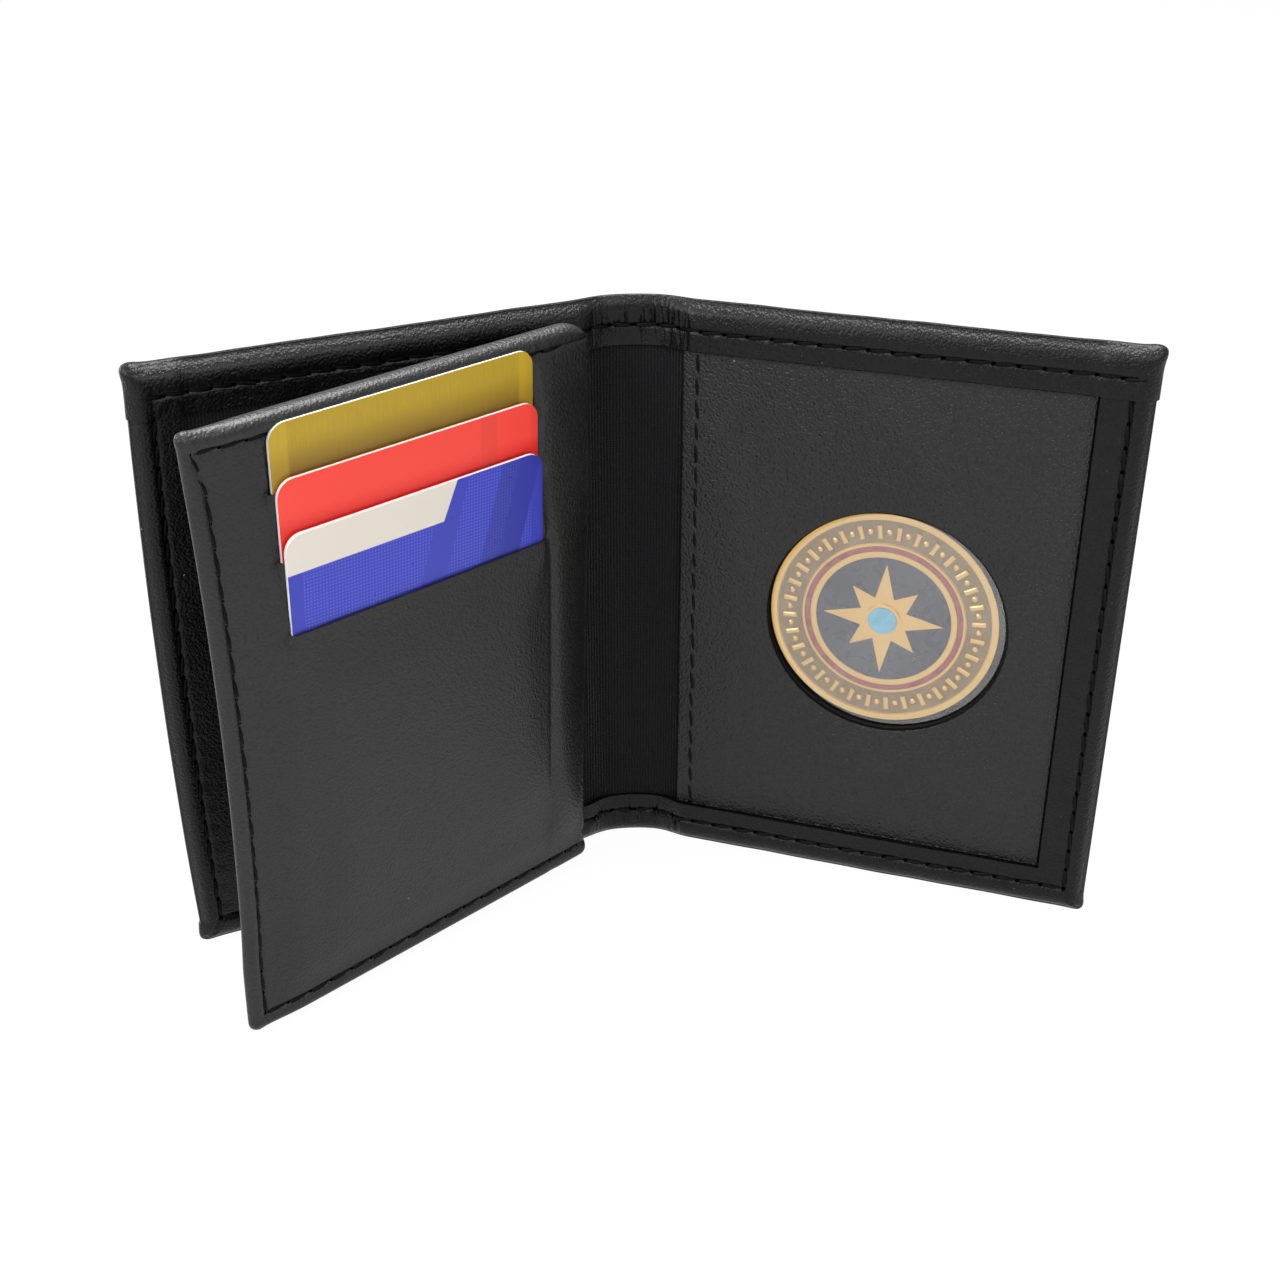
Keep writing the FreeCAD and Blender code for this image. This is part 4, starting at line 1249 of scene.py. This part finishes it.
def soften(obj, width, limit):
    """Rounds all edges sharper than a limit in degrees."""
    modify(obj, "BEVEL", width=width * MM, segments=2, limit_method="ANGLE", angle_limit=math.radians(limit))


def medallion_body():
    """Turned disc with a rim, a band and two grooves."""
    obj = disc("medallion_body", mm("medallion") / 2)
    edit_all(obj)
    raise_face(1.2)
    for width, height in ((1.3, -0.25), (4.9, 0.25), (0.5, -0.45), (1.1, 0.45), (1.2, -0.45)):
        step_in(width)
        raise_face(height)
    outward(obj)
    soften(obj, 0.14, 40)
    return obj


def medallion_star():
    """Star of eight points, four of them longer, raised to its middle."""
    tips, waists, low, high = 11.6, 5.0, 1.06, 1.75
    clear()
    bpy.ops.mesh.primitive_circle_add(vertices=16, radius=tips * MM, fill_type="TRIFAN")
    star = named("star")
    co = points_of(star)
    far = np.hypot(co[:, 0], co[:, 1])
    turn_of = np.round(np.degrees(np.arctan2(co[:, 1], co[:, 0])) / 22.5).astype(int)
    waist = np.where(turn_of % 2 == 1, waists / tips, np.where(turn_of % 4 == 2, 0.78, 1.0))
    co[:, :2] *= np.where(far > 1, waist, 1)[:, None]
    co[:, 2] = np.where(far > 1, low, high)
    put_points(star, co)
    edit(star)
    choose(star, "EDGE", lambda p: bool(np.all(p[:, 2] < 1.1)))
    raise_face(-0.4)
    outward(star)
    return star


def medallion_marks():
    """Beads and bars in turn around the band, each copied from one."""
    bead = ball("bead", 10, 6, 0.62)
    clear()
    bpy.ops.mesh.primitive_cube_add(size=1 * MM)
    lozenge = named("lozenge")
    edit(lozenge)
    choose(lozenge, "FACE", lambda p: at(p, 2, 0.5))
    step_in(0.24)
    shift_up(0.25)
    clear()
    count, band = 32, move(18.25, 0, 1.0)
    made = []
    for index in range(count):
        for master, later, size in ((bead, 0, (1, 1, 0.7)), (lozenge, 0.5, (2.6, 0.95, 0.55))):
            spin = turn(math.radians((index + later) * 360 / count), "Z")
            made.append(copy_of(master, through(spin @ band, points_of(master) * np.array(size))))
    bpy.data.objects.remove(bead)
    bpy.data.objects.remove(lozenge)
    return made


def medallion_collar():
    """Small ring that holds the boss."""
    ring = disc("collar", 3.4, 48)
    edit_all(ring)
    shift_up(1.3)
    raise_face(0.5)
    step_in(0.6)
    raise_face(-0.15)
    outward(ring)
    return ring


class WALLET_OT_medallion(bpy.types.Operator):
    """Round medallion with its rings, star, enamel and clear cover"""

    bl_idname = "wallet.medallion"
    bl_label = "Medallion"

    def execute(self, context):
        brass = brass_finish()
        place = badge_frame() @ move(-0.6, 0.7, 0)

        made = [medallion_body(), medallion_star(), *medallion_marks(), medallion_collar()]
        obj = joined("medallion_metal", made)
        settle(obj, place, points_of(obj), 30)
        dress(obj, brass)
        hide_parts("medallion")
        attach(obj, "right_cover")

        thick = 0.3
        for name, outer, inner, height, shade, node, slot in (
            ("navy_field", 13.0, 0, 1.05, "navy", "enamel_field", "navy_enamel"),
            ("red_ring", 15.3, 14.2, 1.08, "crimson", "enamel_ring", "red_enamel"),
            ("sky_boss", 2.75, 0, 1.92, "sky", "enamel_boss", "sky_enamel"),
        ):
            obj = disc(name, outer)
            edit_all(obj)
            shift_up(height - thick)
            raise_face(thick)
            if inner:
                step_in(outer - inner)
                raise_face(-thick)
            else:
                for part in (0.35, 0.3, 0.25):
                    step_in(outer * part * 0.8)
                    shift_up(0.02)
            outward(obj)
            soften(obj, 0.06, 50)
            settle(obj, place, points_of(obj), 50)
            dress(obj, enamel_finish(slot, shade))
            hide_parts(node)
            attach(obj, "right_cover")

        lens = disc("medallion_cover", 22.2, 128)
        edit_all(lens)
        shift_up(2.0)
        raise_face(0.1)
        step_in(0.3)
        shift_up(0.06)
        outward(lens)
        settle(lens, badge_frame() @ move(0.5, 0.75, 0), points_of(lens), 60)
        dress(lens, lens_finish())
        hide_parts("medallion_lens")
        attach(lens, "right_cover")
        return {"FINISHED"}


# Cards


def card_finish(name, face):
    """Printed plastic: a face painted on the flat card's own measures, white core at its edge."""
    f = Finish(name, Specular_IOR_Level=0.4)
    at = f.place("flat")
    x, depth, up = f.parts(at)
    shade, rough = face(f, at, x, up)
    rim = f.step(depth, 0.06, 0.11) * (1 - f.step(depth, 0.66, 0.70))
    scuff = f.noise(f.scaled(at, 1, 1, 0.4), 600, 3)
    core = f.mix(scuff, paint("card_core", 0.85), paint("card_core", 1.1))
    f.feed("Base Color", f.mix(rim, shade, core))
    f.feed("Roughness", rough + scuff * 0.08)
    f.relief(scuff, 0.01)
    return f.material


def gold_face(f, at, x, up):
    """Olive gold, finely brushed upright, with a painted shadow of the card in front towards the foot."""
    brush = f.noise(f.scaled(at, 1, 1, 0.05), 250, 3, 0.7)
    cloud = f.noise(at, 14000, 2)
    # Painted shadow: below the top of the red card in front, the gold turns dark brown.
    foot = f.step(up, 76.0, 83.0)
    shade = f.mix(brush, paint("gold_card", 0.72), paint("gold_card", 1.2))
    shade = f.mix(foot * 0.8 + 0.2, (0.13, 0.055, 0.001, 1), shade)
    rim = f.step(x, 50.2, 50.9) + (1 - f.step(x, 2.9, 3.5))
    shade = f.mix(rim * 0.25 + cloud * 0.12, shade, paint("gold_card", 1.55))
    return shade, 0.30 + brush * 0.12


def red_face(f, at, x, up):
    """Coral red, with a painted shadow of the card in front low down and a slightly different stripe at one
    side.
    """
    cloud = f.noise(at, 16000, 2)
    # Painted shadow: below the top of the blue card in front, the red turns deeper.
    low = 1 - f.step(up, 76.0, 80.0)
    shade = f.mix(cloud * 0.15, paint("red_card"), paint("red_card", 0.8))
    shade = f.mix(low * 0.85, shade, (0.70, 0.008, 0.004, 1))
    stripe = f.band(x, 9.0, 12.6, 0.3)
    return f.mix(stripe * 0.22, shade, paint("red_card", 0.62)), 0.26


def blue_face(f, at, x, up):
    """Ultramarine, with a fine dotted weave, darker slanted bands and a pale wedge at the top."""
    wave = 2 * math.pi / 0.62
    one = f.sine((x + up * 0.04) * wave)
    two = f.sine((up - x * 0.04) * wave)
    dots = f.step(one + two, 0.1, 1.2)
    slant = x + (up - 60) * 0.32
    plain = f.band(slant, 24.5, 30.0, 0.4) + f.band(slant, 8.0, 13.0, 0.4)
    plain = plain + (1 - f.step(x, 2.6, 2.9)) + f.step(x, 51.2, 51.5)
    dots = dots * (1 - f.step(plain, 0.2, 0.8))
    deep = f.band(slant, 8.0, 17.0, 0.4)
    shade = f.mix(dots * 0.55, paint("blue_card", 0.75), (0.10, 0.135, 0.72, 1))
    shade = f.mix(deep * 0.45, shade, paint("blue_card", 0.35))
    wedge = f.step(up, 78.6, 78.75) * f.step(x - (85.6 - up) * 0.46, 19.0, 19.2)
    return f.mix(wedge, shade, paint("label")), 0.25 + dots * 0.04


# Name, foot and back in the pockets' frame, and face of each card
CARDS = (
    ("gold", 18.7, 0.0, gold_face),
    ("red", 9.4, 1.28, red_face),
    ("blue", 0.2, 2.56, blue_face),
)


class WALLET_OT_cards(bpy.types.Operator):
    """The three bank cards"""

    bl_idname = "wallet.cards"
    bl_label = "Cards"

    def execute(self, context):
        wide, tall, gauge = mm("card_width"), mm("card_height"), mm("card_gauge")
        place = pocket_frame()
        for name, foot, back, face in CARDS:
            obj = block(name + "_bank_card", (0, 0, 0), (wide, gauge, tall))
            edit(obj)
            round_edges(obj, 3.18, 8, lambda p: np.ptp(p[:, 1]) > 0.5)
            round_edges(obj, 0.1, 2, lambda p: at(p, 1, 0) or at(p, 1, gauge))
            outward(obj)
            flat = points_of(obj)
            keep_flat(obj, flat)
            settle(obj, place, flat + np.array((CARD_SIDE, back, foot)), 30)
            dress(obj, card_finish(name + "_print", face))
            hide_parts(name + "_card")
            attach(obj, name + "_card")
        return {"FINISHED"}


# Pieces inside


class WALLET_OT_inner_pieces(bpy.types.Operator):
    """Boards and pocket linings that stay as they are inside the leather"""

    bl_idname = "wallet.inner_pieces"
    bl_label = "Inner pieces"

    def execute(self, context):
        shades = (0.012, 0.012, 0.011, 1), (0.03, 0.028, 0.026, 1)
        board = fibre_finish("grey_board", 0.2, (1, 1, 0.3), (0.5, 4, 0.7), shades, (0.85, 0.1), 0.05)
        shades = paint("lining", 0.7), paint("lining", 2.0)
        cloth = fibre_finish("pocket_cloth", 0.1, (3, 3, 1), (0.4, 2), shades, (0.85, 0.1), 0.06)
        for name, finish in (
            ("left_cover_board", board), ("right_cover_board", board),
            ("leaf_inner_board", board), ("leaf_outer_board", board),
            ("upper_pocket_lining", cloth), ("middle_pocket_lining", cloth), ("lower_pocket_lining", cloth),
        ):
            dress(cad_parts[name], finish)
        return {"FINISHED"}


# Stage


def shown(tree, glossy):
    """1 for rays from the camera or through clear pieces, a share of it for mirrored ones, 0 for the rest."""
    path = tree.nodes.new("ShaderNodeLightPath")
    most = path.outputs["Is Camera Ray"]
    for ray, share in (("Is Transmission Ray", 1.0), ("Is Glossy Ray", glossy)):
        part, both = tree.nodes.new("ShaderNodeMath"), tree.nodes.new("ShaderNodeMath")
        part.operation, both.operation = "MULTIPLY", "MAXIMUM"
        part.inputs[1].default_value = share
        tree.links.new(path.outputs[ray], part.inputs[0])
        tree.links.new(most, both.inputs[0])
        tree.links.new(part.outputs[0], both.inputs[1])
        most = both.outputs[0]
    return most


class WALLET_OT_stage(bpy.types.Operator):
    """Pale floor, soft lamps and the camera"""

    bl_idname = "wallet.stage"
    bl_label = "Stage"

    def execute(self, context):
        scene = context.scene
        scene.view_settings.view_transform = "Standard"

        camera = bpy.data.objects.new("camera", bpy.data.cameras.new("camera"))
        context.collection.objects.link(camera)
        camera.data.sensor_width = 36
        camera.data.lens = 50.373
        camera.data.clip_start = 0.01
        camera.matrix_world = (
            Matrix.Translation((-0.013337, -0.317291, 0.217778))
            @ Matrix.Rotation(math.radians(-2.660), 4, "Z")
            @ Matrix.Rotation(math.radians(90 - 28.481), 4, "X")
            @ Matrix.Rotation(math.radians(0.176), 4, "Z")
        )
        scene.camera = camera

        clear()
        bpy.ops.mesh.primitive_plane_add(size=8)
        floor = named("floor")
        f = Finish("white_floor", Roughness=0.9, Specular_IOR_Level=0.0)
        seen = Wire(f, shown(f.tree, 0.8))
        f.feed("Base Color", f.mix(f.noise(f.place(), 400, 2), (0.66, 0.66, 0.66, 1), (0.70, 0.70, 0.70, 1)))
        glow = f.add("ShaderNodeEmission", None, {"Color": (1, 1, 1, 1), "Strength": 1.02})
        both = f.add("ShaderNodeMixShader", None, {0: seen * 0.95, 1: Wire(f, f.shader.outputs[0]), 2: glow})
        f.join(f.output.inputs["Surface"], both)
        dress(floor, f.material)

        world = bpy.data.worlds.new("studio")
        scene.world = world
        world.use_nodes = True
        tree = world.node_tree
        sky = next(n for n in tree.nodes if n.type == "BACKGROUND")
        sky.inputs["Color"].default_value = (1, 1, 1, 1)
        level = tree.nodes.new("ShaderNodeMapRange")
        level.inputs["To Min"].default_value = 0.14
        level.inputs["To Max"].default_value = 0.97
        tree.links.new(shown(tree, 0.6), level.inputs["Value"])
        tree.links.new(level.outputs[0], sky.inputs["Strength"])

        for name, spot, aim, size, power in (
            ("key_lamp", (-0.80, -0.55, 0.75), (0, -0.02, 0.05), 0.5, 11.0),
            ("fill_lamp", (0.45, -0.85, 0.85), (0.02, -0.02, 0.05), 0.6, 6.2),
            ("top_lamp", (0.05, 0.22, 0.97), (0, 0, 0.05), 0.5, 18.0),
            ("rim_lamp", (-0.80, 0.45, 0.30), (-0.05, -0.02, 0.06), 0.5, 4.0),
        ):
            lamp = bpy.data.lights.new(name, "AREA")
            lamp.shape, lamp.size, lamp.energy = "SQUARE", size, power
            obj = bpy.data.objects.new(name, lamp)
            context.collection.objects.link(obj)
            away = np.array(spot) - np.array(aim)
            obj.location = spot
            tilt = math.atan2(math.hypot(away[0], away[1]), away[2])
            obj.rotation_euler = (tilt, 0, math.atan2(away[0], -away[1]))
        return {"FINISHED"}


# Add-on


OPERATORS = (
    WALLET_OT_outer_leather, WALLET_OT_linings, WALLET_OT_badge_panel, WALLET_OT_leaf, WALLET_OT_stitches,
    WALLET_OT_medallion, WALLET_OT_cards, WALLET_OT_inner_pieces, WALLET_OT_stage,
)


class WALLET_PT_panel(bpy.types.Panel):
    """Sizes, colours and pieces of the wallet"""

    bl_idname = "WALLET_PT_panel"
    bl_label = "Badge wallet"
    bl_space_type = "VIEW_3D"
    bl_region_type = "UI"
    bl_category = "Wallet"

    def draw(self, context):
        for group in (context.scene.wallet_sizes, context.scene.wallet_colours):
            column = self.layout.column(align=True)
            for name in group.bl_rna.properties.keys():
                if name not in ("rna_type", "name"):
                    column.prop(group, name)
        for operator in OPERATORS:
            self.layout.operator(operator.bl_idname)


CLASSES = (WalletSizes, WalletColours) + OPERATORS + (WALLET_PT_panel,)


def register():
    """Adds the wallet's sizes, colours, operators and panel."""
    for item in CLASSES:
        bpy.utils.register_class(item)
    bpy.types.Scene.wallet_sizes = PointerProperty(type=WalletSizes)
    bpy.types.Scene.wallet_colours = PointerProperty(type=WalletColours)


def unregister():
    """Takes them away again."""
    del bpy.types.Scene.wallet_colours
    del bpy.types.Scene.wallet_sizes
    for item in reversed(CLASSES):
        bpy.utils.unregister_class(item)


def main():
    """Builds the whole wallet."""
    register()
    bpy.ops.wallet.stage()
    bpy.ops.wallet.outer_leather()
    bpy.ops.wallet.linings()
    bpy.ops.wallet.badge_panel()
    bpy.ops.wallet.leaf()
    bpy.ops.wallet.stitches()
    bpy.ops.wallet.medallion()
    bpy.ops.wallet.cards()
    bpy.ops.wallet.inner_pieces()


if __name__ == "__main__":
    main()
